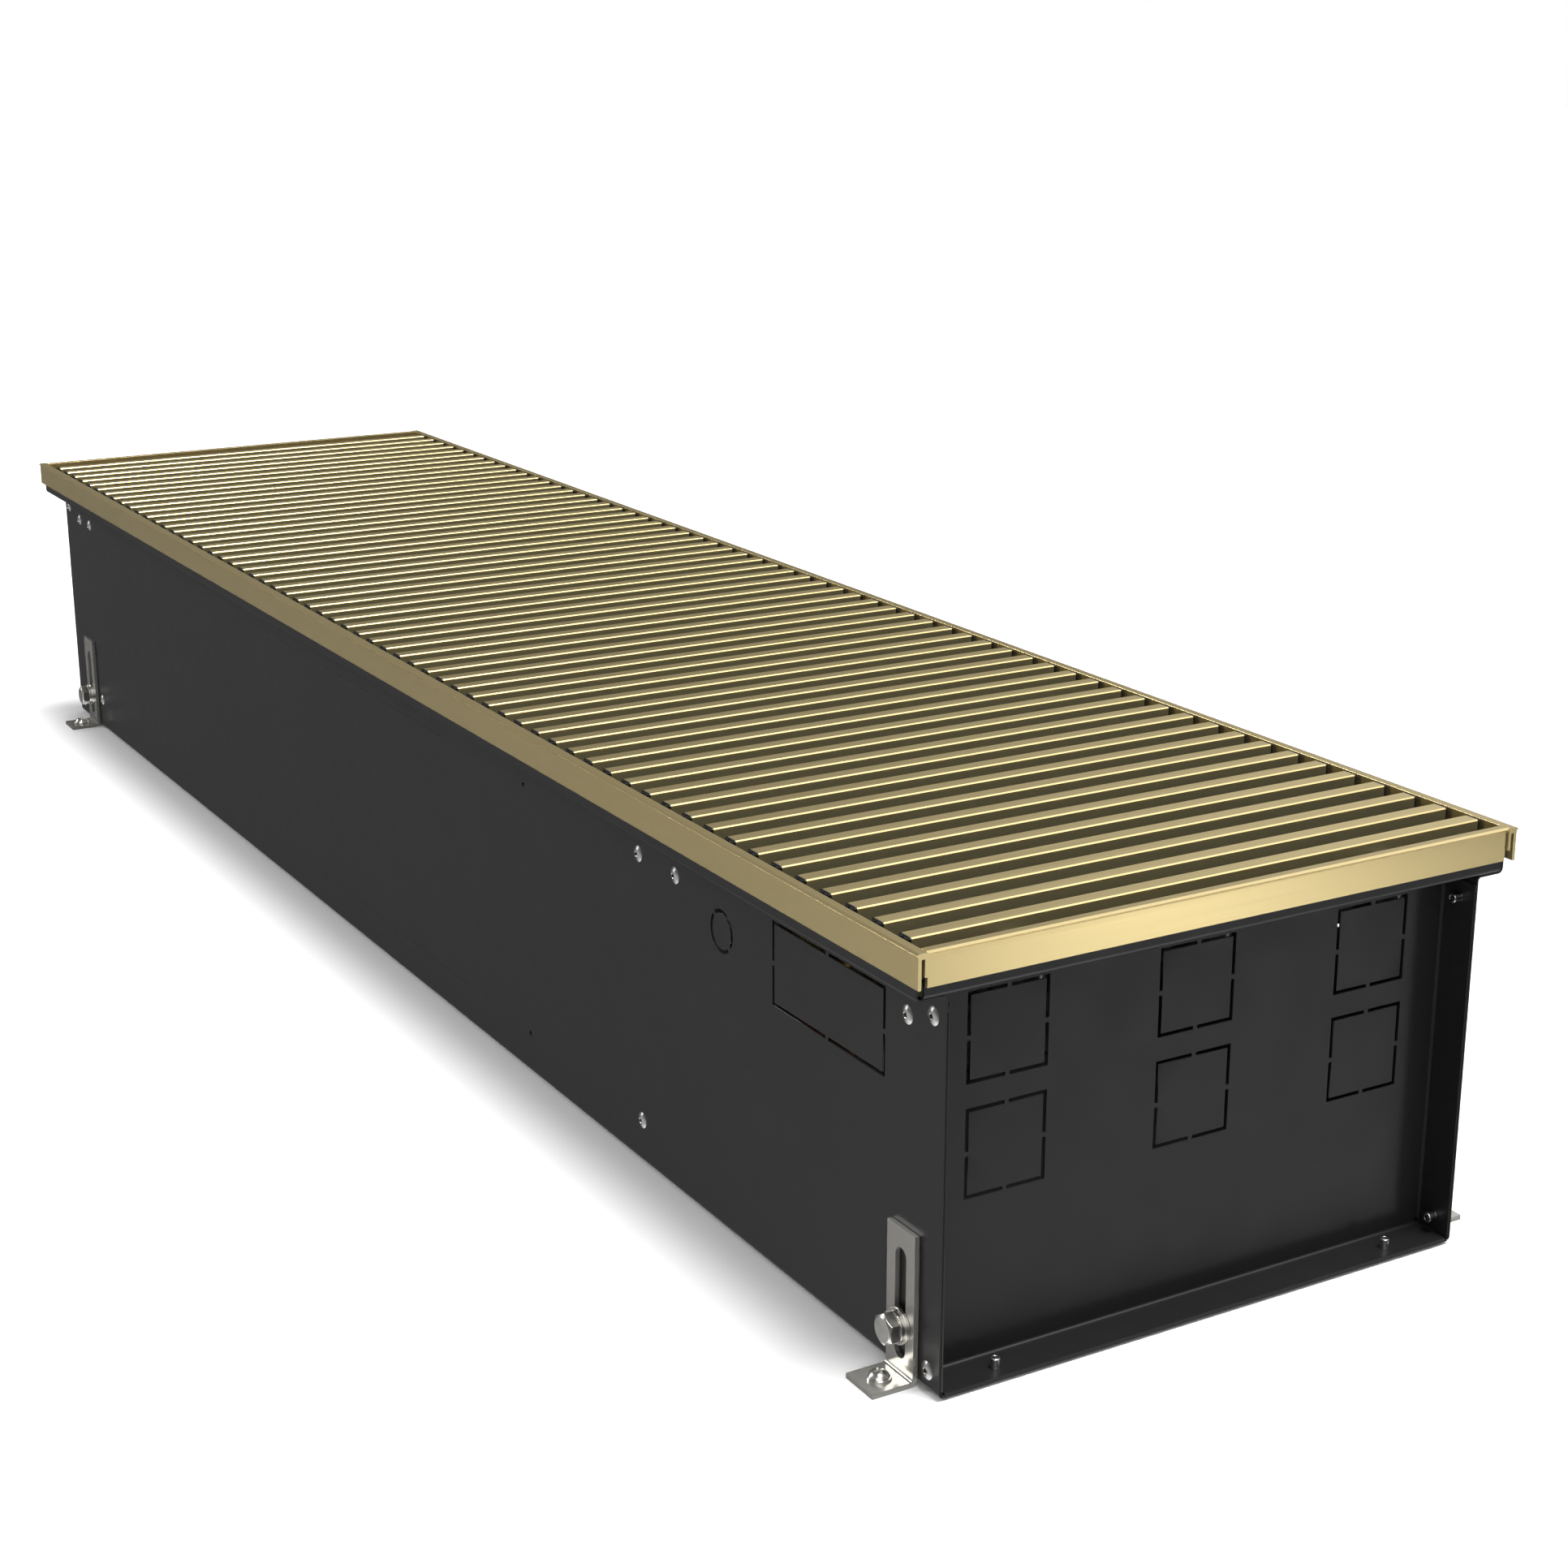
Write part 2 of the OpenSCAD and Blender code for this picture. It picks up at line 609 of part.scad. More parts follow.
// Rivet from its head's seat at z = 0: the head is below, and the shank and tail rise through the grip
module rivet(grip = 2 * sheet_t) {
    head_r = rivet_head_d / 2;
    ball_r = (head_r * head_r + rivet_head_h * rivet_head_h) / (2 * rivet_head_h);
    difference() {
        union() {
            intersection() {
                translate([0, 0, ball_r - rivet_head_h]) sphere(ball_r);
                translate([0, 0, -rivet_head_h]) cylinder(d = rivet_head_d, h = rivet_head_h);
            }
            cylinder(d = rivet_d, h = grip);
            translate([0, 0, grip]) cylinder(d = rivet_tail_d, h = rivet_tail_len - rivet_tail_edge);
            translate([0, 0, grip + rivet_tail_len - rivet_tail_edge]) cylinder(d1 = rivet_tail_d,
                d2 = rivet_tail_d - 2 * rivet_tail_edge, h = rivet_tail_edge);
        }
        translate([0, 0, -rivet_head_h - over]) cylinder(d = mandrel_d, h = mandrel_pit + over);
        translate([0, 0, grip + rivet_tail_len - mandrel_pit])
            cylinder(d = mandrel_d + rivet_clear, h = mandrel_pit + over);
    }
}

// A piece whose seat faces inwards on the +Y wall (s = 1) or the -Y wall (s = -1)
module on_wall(x, s, z, y = half_w) translate([x, s * y, z]) rotate([s * 90, 0, 0]) children();

module wall_rivets(s) color(zinc) for (p = wall_rivet_places)
    on_wall(p[0], s, p[1]) rivet(is_strut(p) ? sheet_t + strut_t : 2 * sheet_t);

// Whether a rivet holds a strut, whose tab is thicker than the sheet
function is_strut(p) = p[1] == rivet_row_z
    && (p[0] == strut_valve_x || p[0] == strut_middle_x || p[0] == strut_blank_x);

module floor_rivets() color(zinc) for (sx = [1, -1]) for (sy = [1, -1])
    translate([sx * floor_rivet_x, sy * floor_rivet_y, body_lift]) rivet();

// Hardware of the feet, four of each
module each_foot() for (x = foot_places) for (s = [1, -1]) translate([x, 0, bolt_z])
    mirror([0, s < 0 ? 1 : 0, 0]) children();

module clinch_nuts() color(zinc) each_foot() difference() {
    round_y(nut_d, wall_in - nut_h, wall_in);
    round_y(bolt_d + 2 * thread_clear, wall_in - nut_h - over, wall_in + over);
}

module foot_bolts() color(zinc) each_foot() {
    round_y(bolt_d, bolt_head_in - bolt_len, bolt_head_in);
    intersection() {
        translate([0, bolt_head_in, 0]) rotate([-90, 30, 0])
            cylinder(d = bolt_head_af / cos(30), h = bolt_head_h, $fn = 6);
        bolt_head_dome();
    }
}

// Turned chamfer of the bolt's head: a cylinder under a short cone
module bolt_head_dome() translate([0, bolt_head_in, 0]) rotate([-90, 0, 0]) {
    corner_r = bolt_head_af / cos(30) / 2 + corner_gap;
    face_r = 0.86 * bolt_head_af / 2;
    cone_h = 0.24 * bolt_head_h;
    cylinder(r = corner_r, h = bolt_head_h - cone_h);
    translate([0, 0, bolt_head_h - cone_h]) cylinder(r1 = corner_r, r2 = face_r, h = cone_h);
}

module spring_washers() color(zinc) each_foot() difference() {
    round_y(spring_washer_d, spring_washer_in, spring_washer_in + spring_washer_t);
    round_y(bolt_d + 2 * washer_clear, spring_washer_in - over, bolt_head_in + over);
    translate([0, spring_washer_in + spring_washer_t / 2, spring_washer_d / 2]) rotate([0, 0, 30])
        cube([spring_cut, 4 * spring_washer_t, spring_washer_d - bolt_d], center = true);
}

module flat_washers() color(zinc) each_foot() difference() {
    round_y(flat_washer_d, flat_washer_in, flat_washer_in + flat_washer_t);
    round_y(bolt_d + 2 * washer_clear, flat_washer_in - over, spring_washer_in + over);
}

// Foot bracket on the +Y side at x: the slotted leg, the bend and the foot plate
module foot_bracket(x, s) color(zinc) mirror([0, s < 0 ? 1 : 0, 0]) translate([x, 0, 0]) difference() {
    along_x(foot_w) {
        strip(foot_in, foot_out, foot_t + bend_r, foot_h);
        translate([foot_out + bend_r, foot_t + bend_r]) bend(-1, -1, bend_r, foot_t);
        strip(foot_out + bend_r, foot_y, 0, foot_t);
    }
    foot_slot();
    translate([0, foot_screw_y, -over])
        cylinder(d = foot_screw_d + 2 * foot_screw_clear, h = foot_t + 2 * over);
}

// Vertical slot with round ends through a bracket's leg
module foot_slot() {
    z0 = foot_slot_z0 + foot_slot_w / 2;
    z1 = foot_slot_z1 - foot_slot_w / 2;
    for (z = [z0, z1]) translate([0, 0, z]) round_y(foot_slot_w, foot_in - over, foot_out + over);
    block(-foot_slot_w / 2, foot_slot_w / 2, foot_in - over, foot_out + over, z0, z1);
}

// Pan-head screw in a foot plate, with its cross recess
module foot_screw(x, s) color(zinc) translate([x, s * foot_screw_y, 0]) difference() {
    seat = foot_t + foot_washer_t;
    head_r = pan_head_d / 2;
    ball_r = (head_r * head_r + pan_head_h * pan_head_h) / (2 * pan_head_h);
    union() {
        translate([0, 0, floor_clear]) cylinder(d = foot_screw_d, h = seat - floor_clear);
        intersection() {
            translate([0, 0, seat + pan_head_h - ball_r]) sphere(ball_r);
            translate([0, 0, seat]) cylinder(d = pan_head_d, h = pan_head_h);
        }
    }
    for (a = [0, 90]) rotate(a) translate([0, 0, seat + pan_head_h])
        cube([cross_len, cross_w, 2 * cross_depth], center = true);
}

module foot_washer(x, s) color(zinc) translate([x, s * foot_screw_y, foot_t]) difference() {
    cylinder(d = foot_washer_d, h = foot_washer_t);
    translate([0, 0, -over]) cylinder(d = foot_screw_d + 2 * foot_screw_clear, h = foot_washer_t + 2 * over);
}

// Outline of a slat, and of its hollow
module slat_section() {
    w = slat_w / 2;
    c = slat_chamfer;
    polygon([
        [-w, slat_z0 + c], [-w + c, slat_z0], [w - c, slat_z0], [w, slat_z0 + c],
        [w, slat_z0 + slat_h - c], [w - c, slat_z0 + slat_h],
        [-w + c, slat_z0 + slat_h], [-w, slat_z0 + slat_h - c]
    ]);
}

module slat_hollow(shrink = 0) strip(-slat_w / 2 + slat_wall + shrink, slat_w / 2 - slat_wall - shrink,
    slat_z0 + slat_wall + shrink, slat_z0 + slat_h - slat_wall - shrink);

module each_slat() for (i = [0 : slat_n - 1]) translate([slat_start + i * slat_pitch, grille_side, 0]) children();

module grille_slats() color(brass_alu) each_slat() difference() {
    along_y(2 * slat_half) difference() {
        slat_section();
        slat_hollow();
    }
    for (s = [1, -1]) translate([0, s * cable_y, cable_z])
        round_x(cable_d + 2 * cable_clear, -slat_w, slat_w);
}

// End cap: a plug in the hollow, a thin base and two rounded lobes with a notch between them
module end_cap() {
    translate([0, slat_half - plug_len / 2, 0]) along_y(plug_len) slat_hollow(plug_clear);
    translate([0, slat_half + cap_base_t / 2, 0]) along_y(cap_base_t) slat_section();
    lobe_z0 = slat_z0 + slat_chamfer;
    lobe_h = slat_h - 2 * slat_chamfer;
    for (i = [0, 1]) translate([slat_w * lobe_at_share[i], slat_half + cap_base_t, lobe_z0])
        linear_extrude(lobe_h) intersection() {
            cap_lobe(slat_w * lobe_share[i], cap_t - cap_base_t);
            strip(-slat_w, slat_w, 0, cap_t);
        }
}

// Round lobe of half width r and reach h: a circle whose cap stands h above its chord
module cap_lobe(r, h) {
    lobe_r = (r * r + h * h) / (2 * h);
    translate([0, h - lobe_r]) circle(lobe_r);
}

module end_caps(s) color(black_plastic) each_slat() mirror([0, s < 0 ? 1 : 0, 0]) end_cap();

module link_cables() color(zinc) for (s = [1, -1]) translate([0, grille_side + s * cable_y, cable_z])
    round_x(cable_d, slat_start - slat_w / 2 - cable_out, slat_end + slat_w / 2 + cable_out);

module link_sleeves() color(black_plastic) for (i = [0 : slat_n - 2]) for (s = [1, -1])
    translate([slat_start + (i + 0.5) * slat_pitch, grille_side + s * cable_y, cable_z])
        sleeve(slat_pitch - slat_w);

module cable_stops() color(zinc) for (end = [[-1, slat_start], [1, slat_end]]) for (s = [1, -1])
    translate([end[1] + end[0] * (slat_w + stop_len) / 2, grille_side + s * cable_y, cable_z])
        sleeve(stop_len);

module sleeve(len) difference() {
    round_x(spacer_d, -len / 2, len / 2);
    round_x(cable_d + 2 * cable_clear, -len / 2 - over, len / 2 + over);
}

trough();
end_plate();  // end_plate_valve
mirror([1, 0, 0]) end_plate();  // end_plate_blank
frame_side(-1);  // frame_side_left
frame_side(1);  // frame_side_right
frame_cross(1);  // frame_end_valve
frame_cross(-1);  // frame_end_blank
rest_strip(-1);  // rest_strip_left
rest_strip(1);  // rest_strip_right
strut(strut_valve_x);  // strut_valve
strut(strut_middle_x);  // strut_middle
strut(strut_blank_x);  // strut_blank
bulkhead_valve();
bulkhead_blank();
coil_fins();
coil_tubes();
return_bends_blank();
return_bends_valve();
union_supply();
union_return();
vent_body();
vent_screw();
wall_rivets(-1);  // wall_rivets_left
wall_rivets(1);  // wall_rivets_right
floor_rivets();
clinch_nuts();
foot_bolts();
spring_washers();
flat_washers();
foot_bracket(foot_places[0], -1);  // foot_bracket_valve_left
foot_bracket(foot_places[0], 1);  // foot_bracket_valve_right
foot_bracket(foot_places[1], -1);  // foot_bracket_blank_left
foot_bracket(foot_places[1], 1);  // foot_bracket_blank_right
foot_screw(foot_places[0], -1);  // foot_screw_valve_left
foot_screw(foot_places[0], 1);  // foot_screw_valve_right
foot_screw(foot_places[1], -1);  // foot_screw_blank_left
foot_screw(foot_places[1], 1);  // foot_screw_blank_right
foot_washer(foot_places[0], -1);  // foot_washer_valve_left
foot_washer(foot_places[0], 1);  // foot_washer_valve_right
foot_washer(foot_places[1], -1);  // foot_washer_blank_left
foot_washer(foot_places[1], 1);  // foot_washer_blank_right
grille_slats();
end_caps(-1);  // end_caps_left
end_caps(1);  // end_caps_right
link_cables();
link_sleeves();
cable_stops();
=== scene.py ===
import math

import bmesh
import bpy
from mathutils import Matrix, Vector


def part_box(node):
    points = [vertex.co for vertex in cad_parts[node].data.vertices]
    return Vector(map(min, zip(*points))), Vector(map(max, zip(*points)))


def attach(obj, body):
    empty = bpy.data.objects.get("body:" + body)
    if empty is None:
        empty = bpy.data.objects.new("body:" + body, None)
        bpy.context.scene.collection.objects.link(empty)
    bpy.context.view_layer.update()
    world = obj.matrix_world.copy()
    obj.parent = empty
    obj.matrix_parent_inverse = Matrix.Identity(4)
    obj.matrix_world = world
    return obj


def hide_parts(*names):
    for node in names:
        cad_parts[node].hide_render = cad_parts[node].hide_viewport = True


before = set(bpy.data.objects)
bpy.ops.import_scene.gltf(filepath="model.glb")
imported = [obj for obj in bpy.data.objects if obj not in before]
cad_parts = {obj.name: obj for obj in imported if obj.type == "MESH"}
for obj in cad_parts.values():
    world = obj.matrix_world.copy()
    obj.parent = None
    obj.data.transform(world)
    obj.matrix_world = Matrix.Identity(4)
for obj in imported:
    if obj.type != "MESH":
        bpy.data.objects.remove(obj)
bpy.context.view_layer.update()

# A trench convector heater. Shapes are drawn in millimetres in the frame's own axes: +X is the valve
# end, -Y the long side in view, +Z up and the floor z = 0. make() and grow() turn them to metres.
MM = 0.001


# Drawing

def span(*nodes):
    """Lowest and highest corner round CAD nodes, in millimetres."""
    lows, highs = zip(*(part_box(node) for node in nodes))
    return Vector(map(min, zip(*lows))) / MM, Vector(map(max, zip(*highs))) / MM


def mesh_of(points, faces):
    mesh = bpy.data.meshes.new("shape")
    mesh.from_pydata([tuple(point) for point in points], [], faces)
    return mesh


def moved(mesh, x=0, y=0, z=0, turn=None):
    """A copy of the mesh, turned by a matrix and then moved."""
    copy = mesh.copy()
    copy.transform(Matrix.Translation((x, y, z)) @ (turn or Matrix()))
    return copy


def gathered(*meshes, merge=0.0):
    """Several meshes as one with outward faces; vertices closer than merge become one."""
    whole = bmesh.new()
    for mesh in meshes:
        whole.from_mesh(mesh)
    if merge:
        bmesh.ops.remove_doubles(whole, verts=whole.verts, dist=merge)
    bmesh.ops.recalc_face_normals(whole, faces=whole.faces)
    result = bpy.data.meshes.new("shape")
    whole.to_mesh(result)
    whole.free()
    return result


def joined(*meshes):
    """Several meshes drawn in millimetres as one, with the vertices that meet merged."""
    return gathered(*meshes, merge=0.001)


def evaluated(blank):
    """The plain mesh of an object with its modifiers, which is then removed."""
    graph = bpy.context.evaluated_depsgraph_get()
    mesh = bpy.data.meshes.new_from_object(blank.evaluated_get(graph))
    bpy.data.objects.remove(blank)
    return mesh


def on_bench(mesh, name="blank"):
    blank = bpy.data.objects.new(name, mesh)
    bpy.context.scene.collection.objects.link(blank)
    return blank


def worked(mesh, kind, **settings):
    """The mesh after one modifier, such as a bevel."""
    blank = on_bench(joined(mesh))
    modifier = blank.modifiers.new(kind, kind)
    for name, value in settings.items():
        setattr(modifier, name, value)
    return evaluated(blank)


def cut(mesh, *tools, how="DIFFERENCE"):
    """The mesh after exact booleans with each tool in turn."""
    for tool in tools:
        blade = on_bench(joined(tool), "tool")
        mesh = worked(mesh, "BOOLEAN", operation=how, solver="EXACT", object=blade)
        bpy.data.objects.remove(blade)
    return mesh


def eased(mesh, width, segments=2, angle=30):
    """The mesh with its sharp edges rounded off by width."""
    return worked(mesh, "BEVEL", width=width, segments=segments, limit_method="ANGLE",
                  angle_limit=math.radians(angle), miter_outer="MITER_ARC", harden_normals=False)


def rounded(corners, radius, steps=4):
    """An outline with each corner turned to an arc; radius may be one value or one for each corner."""
    outline = []
    for i, corner in enumerate(corners):
        r = radius[i] if isinstance(radius, (list, tuple)) else radius
        corner = Vector(corner)
        if r == 0:
            outline.append(corner)
            continue
        back = (Vector(corners[i - 1]) - corner).normalized()
        ahead = (Vector(corners[(i + 1) % len(corners)]) - corner).normalized()
        half = back.angle(ahead) / 2
        centre = corner + (back + ahead).normalized() * r / math.sin(half)
        start = corner + back * r / math.tan(half) - centre
        end = corner + ahead * r / math.tan(half) - centre
        first = math.atan2(start.y, start.x)
        sweep = math.atan2(start.cross(end), start.dot(end))
        for k in range(steps + 1):
            angle = first + sweep * k / steps
            outline.append(centre + r * Vector((math.cos(angle), math.sin(angle))))
    return outline


def rectangle(u0, u1, v0, v1):
    return [(u0, v0), (u1, v0), (u1, v1), (u0, v1)]


def arc(radius, start, end, steps, u=0, v=0):
    """Points on an arc round (u, v), in degrees."""
    angles = [math.radians(start + (end - start) * k / steps) for k in range(steps + 1)]
    return [(u + radius * math.cos(a), v + radius * math.sin(a)) for a in angles]


def lofted(rings, loop=False):
    """A skin over rings of points: its ends are filled, or joined where it is a loop."""
    count = len(rings[0])
    points = [point for ring in rings for point in ring]
    faces = []
    pairs = [(i, i + 1) for i in range(len(rings) - 1)] + ([(len(rings) - 1, 0)] if loop else [])
    for low, high in pairs:
        for i in range(count):
            j = (i + 1) % count
            faces.append((low * count + i, low * count + j, high * count + j, high * count + i))
    if not loop:
        faces.append(tuple(range(count)))
        faces.append(tuple(range(len(points) - count, len(points))))
    return mesh_of(points, faces)


def laid(outline, axis, along):
    """An outline in the plane square to an axis, at a distance along it."""
    ring = []
    for u, v in outline:
        point = [u, v]
        point.insert("xyz".index(axis), along)
        ring.append(point)
    return ring


def prism(outline, axis, low, high):
    """A bar: an outline run along an axis."""
    return joined(lofted([laid(outline, axis, low), laid(outline, axis, high)]))


def pipe(outer, inner, axis, low, high):
    """A hollow bar: two outlines with as many points, run along an axis."""
    places = ((outer, low), (outer, high), (inner, high), (inner, low))
    return joined(lofted([laid(outline, axis, along) for outline, along in places], loop=True))


def turned(profile, steps=40, ring=False):
    """A lathe shape round Z from (radius, height) points; a ring's profile closes on itself."""
    points = []
    rows = []
    for radius, height in profile:
        if radius == 0:
            rows.append([len(points)] * steps)
            points.append((0, 0, height))
            continue
        rows.append(list(range(len(points), len(points) + steps)))
        points += laid(arc(radius, 0, 360, steps)[:-1], "z", height)
    faces = []
    for low, high in zip(rows, rows[1:] + rows[:1]) if ring else zip(rows, rows[1:]):
        for i in range(steps):
            j = (i + 1) % steps
            face = tuple(dict.fromkeys((low[i], low[j], high[j], high[i])))
            if len(face) > 2:
                faces.append(face)
    return joined(mesh_of(points, faces))


TO_X = Matrix.Rotation(math.pi / 2, 4, "Y")
TO_Y = Matrix.Rotation(-math.pi / 2, 4, "X")


def rod(axis, radius, low, high, steps=40):
    """A plain round bar along an axis, through the origin of the other two."""
    return prism(arc(radius, 0, 360, steps)[:-1], axis, low, high)


def mirrored(mesh, axis):
    """The mesh on the other side of the middle plane square to an axis."""
    scale = Vector([-1 if letter == axis else 1 for letter in "xyz"])
    return joined(moved(mesh, turn=Matrix.Diagonal((*scale, 1))))


# Nodes

def add(tree, kind, inputs=None, **settings):
    """Adds a node. An input goes by its label or number and takes a value or another node's output."""
    node = tree.nodes.new(kind)
    for name, value in settings.items():
        setattr(node, name, value)
    for label, value in (inputs or {}).items():
        if isinstance(value, bpy.types.NodeSocket):
            tree.links.new(value, node.inputs[label])
        else:
            node.inputs[label].default_value = value
    return node


SOCKETS = {int: "NodeSocketInt", float: "NodeSocketFloat", tuple: "NodeSocketVector",
           bpy.types.Object: "NodeSocketObject"}


def grow(mesh, recipe, material, **sizes):
    """Runs a Geometry Nodes recipe on a mesh in millimetres, and gives the plain mesh in metres."""
    tree = bpy.data.node_groups.new(recipe.__name__, "GeometryNodeTree")
    tree.interface.new_socket("Geometry", in_out="INPUT", socket_type="NodeSocketGeometry")
    tree.interface.new_socket("Geometry", in_out="OUTPUT", socket_type="NodeSocketGeometry")
    named = {}
    for label, value in sizes.items():
        named[label] = tree.interface.new_socket(label, in_out="INPUT", socket_type=SOCKETS[type(value)])
    start = add(tree, "NodeGroupInput")
    shape = recipe(tree, start.outputs)
    whole = add(tree, "GeometryNodeRealizeInstances", {"Geometry": shape})
    metres = add(tree, "GeometryNodeTransform", {"Geometry": whole.outputs[0], "Scale": (MM, MM, MM)})
    painted = add(tree, "GeometryNodeSetMaterial", {"Geometry": metres.outputs[0], "Material": material})
    add(tree, "NodeGroupOutput", {"Geometry": painted.outputs[0]})
    blank = on_bench(mesh)
    modifier = blank.modifiers.new(recipe.__name__, "NODES")
    modifier.node_group = tree
    for label, value in sizes.items():
        modifier[named[label].identifier] = value
    return evaluated(blank)


def row(tree, size):
    """The shape repeated along X."""
    places = add(tree, "GeometryNodeMeshLine", {"Count": size["count"], "Start Location": size["first"],
                                                "Offset": size["step"]})
    return add(tree, "GeometryNodeInstanceOnPoints",
               {"Points": places.outputs[0], "Instance": size["Geometry"]}).outputs[0]


def scatter(tree, size):
    """The shape at each point of the places, turned as given."""
    places = add(tree, "GeometryNodeObjectInfo", {"Object": size["places"]})
    return add(tree, "GeometryNodeInstanceOnPoints",
               {"Points": places.outputs["Geometry"], "Instance": size["Geometry"],
                "Rotation": size["turn"]}).outputs[0]


def in_a_row(mesh, material, count, first, step):
    return grow(mesh, row, material, count=count, first=tuple(first), step=tuple(step))


def at_places(mesh, material, points, turn=(0.0, 0.0, 0.0)):
    marks = on_bench(mesh_of(points, []), "places")
    turn = tuple(math.radians(angle) for angle in turn)
    grown = grow(mesh, scatter, material, places=marks, turn=turn)
    bpy.data.objects.remove(marks)
    return grown


# Pieces

def make(name, mesh, material, body, slot, *nodes, metres=False, sharp=35):
    """A finished piece: outward faces, smooth between its sharp edges, on its body."""
    final = gathered(mesh)
    if not metres:
        final.transform(Matrix.Scale(MM, 4))
    final.materials.clear()
    final.materials.append(material)
    final.polygons.foreach_set("material_index", [0] * len(final.polygons))
    final.polygons.foreach_set("use_smooth", [True] * len(final.polygons))
    final.set_sharp_from_angle(angle=math.radians(sharp))
    piece = on_bench(final, name)
    shading = piece.modifiers.new("Weighted normals", "WEIGHTED_NORMAL")
    shading.keep_sharp = True
    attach(piece, body)
    if nodes:
        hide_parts(*nodes)
    return piece


def dress(material, *nodes):
    """Gives carried-over CAD nodes their finish."""
    for node in nodes:
        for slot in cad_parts[node].material_slots:
            slot.material = material


# Finishes

def srgb(code):
    """Linear colour of an sRGB hex value."""
    shares = [int(code[i:i + 2], 16) / 255 for i in (1, 3, 5)]
    return [c / 12.92 if c <= 0.04045 else ((c + 0.055) / 1.055) ** 2.4 for c in shares] + [1.0]


def finish_named(name, **shader):
    """A material with one Principled shader; gives its tree, its shader and its Object coordinates."""
    material = bpy.data.materials.new(name)
    material.use_nodes = True
    tree = material.node_tree
    tree.nodes.clear()
    values = {label.replace("_", " "): value for label, value in shader.items()}
    surface = add(tree, "ShaderNodeBsdfPrincipled", values)
    add(tree, "ShaderNodeOutputMaterial", {"Surface": surface.outputs[0]})
    return material, tree, surface, add(tree, "ShaderNodeTexCoord").outputs["Object"]


def grain_lines(tree, place, across, spacing, length):
    """Noise drawn out along one axis: its value changes every spacing across and every length along."""
    scale = [1 / (length * MM)] * 3
    for letter in across:
        scale["xyz".index(letter)] = 1 / (spacing * MM)
    stretched = add(tree, "ShaderNodeMapping", {"Vector": place, "Scale": scale})
    values = {"Vector": stretched.outputs[0], "Scale": 1.0, "Detail": 3.0}
    return add(tree, "ShaderNodeTexNoise", values).outputs[0]


def blotches(tree, place, size, detail=2.0):
    """Soft noise whose patches are about size millimetres wide."""
    values = {"Vector": place, "Scale": 1 / (size * MM), "Detail": detail}
    return add(tree, "ShaderNodeTexNoise", values).outputs[0]


def between(tree, value, low, high, start=0.3, end=0.7):
    """The value's stretch from start to end, spread from low to high."""
    return add(tree, "ShaderNodeMapRange", {"Value": value, "From Min": start, "From Max": end,
                                            "To Min": low, "To Max": high}).outputs[0]


def blended(tree, value, first, second):
    """Two hex colours mixed by the value."""
    colours = {0: value, 6: srgb(first), 7: srgb(second)}
    return add(tree, "ShaderNodeMix", colours, data_type="RGBA").outputs[2]


def finished(tree, surface, colour, roughness):
    """Links the shader's base colour and its roughness."""
    tree.links.new(colour, surface.inputs["Base Color"])
    tree.links.new(roughness, surface.inputs["Roughness"])


def roughened(tree, surface, height, depth, strength):
    """Bump of depth millimetres on the shader."""
    bump = add(tree, "ShaderNodeBump", {"Height": height, "Strength": strength, "Distance": depth * MM})
    tree.links.new(bump.outputs[0], surface.inputs["Normal"])


def powder_coated_steel():
    """Polyester powder baked on sheet steel: a satin charcoal film with a fine orange peel."""
    material, tree, surface, place = finish_named("powder coated steel", IOR=1.5)
    cloud = between(tree, blotches(tree, place, 90), 0, 1)
    finished(tree, surface, blended(tree, cloud, "#19191A", "#1B1B1C"),
             between(tree, blotches(tree, place, 25), 0.37, 0.41))
    roughened(tree, surface, blotches(tree, place, 0.9), 0.004, 0.3)
    return material


def anodised_aluminium(name, along):
    """Extruded aluminium, anodised brass: a silky metal with barely visible die lines along the bar."""
    material, tree, surface, place = finish_named(name, Metallic=0.8)
    lines = grain_lines(tree, place, "xyz".replace(along, ""), 0.45, 160)
    finished(tree, surface, blended(tree, between(tree, lines, 0, 1), "#CEBB87", "#D1BE8A"),
             between(tree, lines, 0.22, 0.25))
    roughened(tree, surface, lines, 0.003, 0.25)
    return material


TOP_LIGHT_FULL = 0.9        # how far below the slat's top the painted top light is still whole
TOP_LIGHT_GONE = 1.5        # and where it has faded out


def slat_with_painted_light(top):
    """Anodised slat with painted light: a height mask paints its top and chamfers a brighter brass as a
    painted highlight, and its sides a dull grey as painted shade. The top is also smoother and more
    metallic.
    """
    material, tree, surface, place = finish_named("anodised aluminium with painted top light and side shade", Metallic=0.8)
    lines = grain_lines(tree, place, "xz", 0.45, 160)
    height = add(tree, "ShaderNodeSeparateXYZ", {"Vector": place}).outputs["Z"]
    # Painted light: the mask gives the top and chamfers a brighter brass (painted highlight) and the
    # sides a dull grey (painted shade).
    lit_top = between(tree, height, 0, 1, (top - TOP_LIGHT_GONE) * MM, (top - TOP_LIGHT_FULL) * MM)
    brass = blended(tree, between(tree, lines, 0, 1), "#DCC88F", "#E3D09A")
    shaded_sides_and_lit_top = {0: lit_top, 6: srgb("#A69F7F"), 7: brass}
    colour = add(tree, "ShaderNodeMix", shaded_sides_and_lit_top, data_type="RGBA").outputs[2]
    tree.links.new(between(tree, lit_top, 0.8, 0.92), surface.inputs["Metallic"])
    less_on_top = {0: between(tree, lines, 0.36, 0.42), 1: between(tree, lit_top, 0, 0.08)}
    roughness = add(tree, "ShaderNodeMath", less_on_top, operation="SUBTRACT").outputs[0]
    finished(tree, surface, colour, roughness)
    roughened(tree, surface, lines, 0.01, 0.25)
    return material


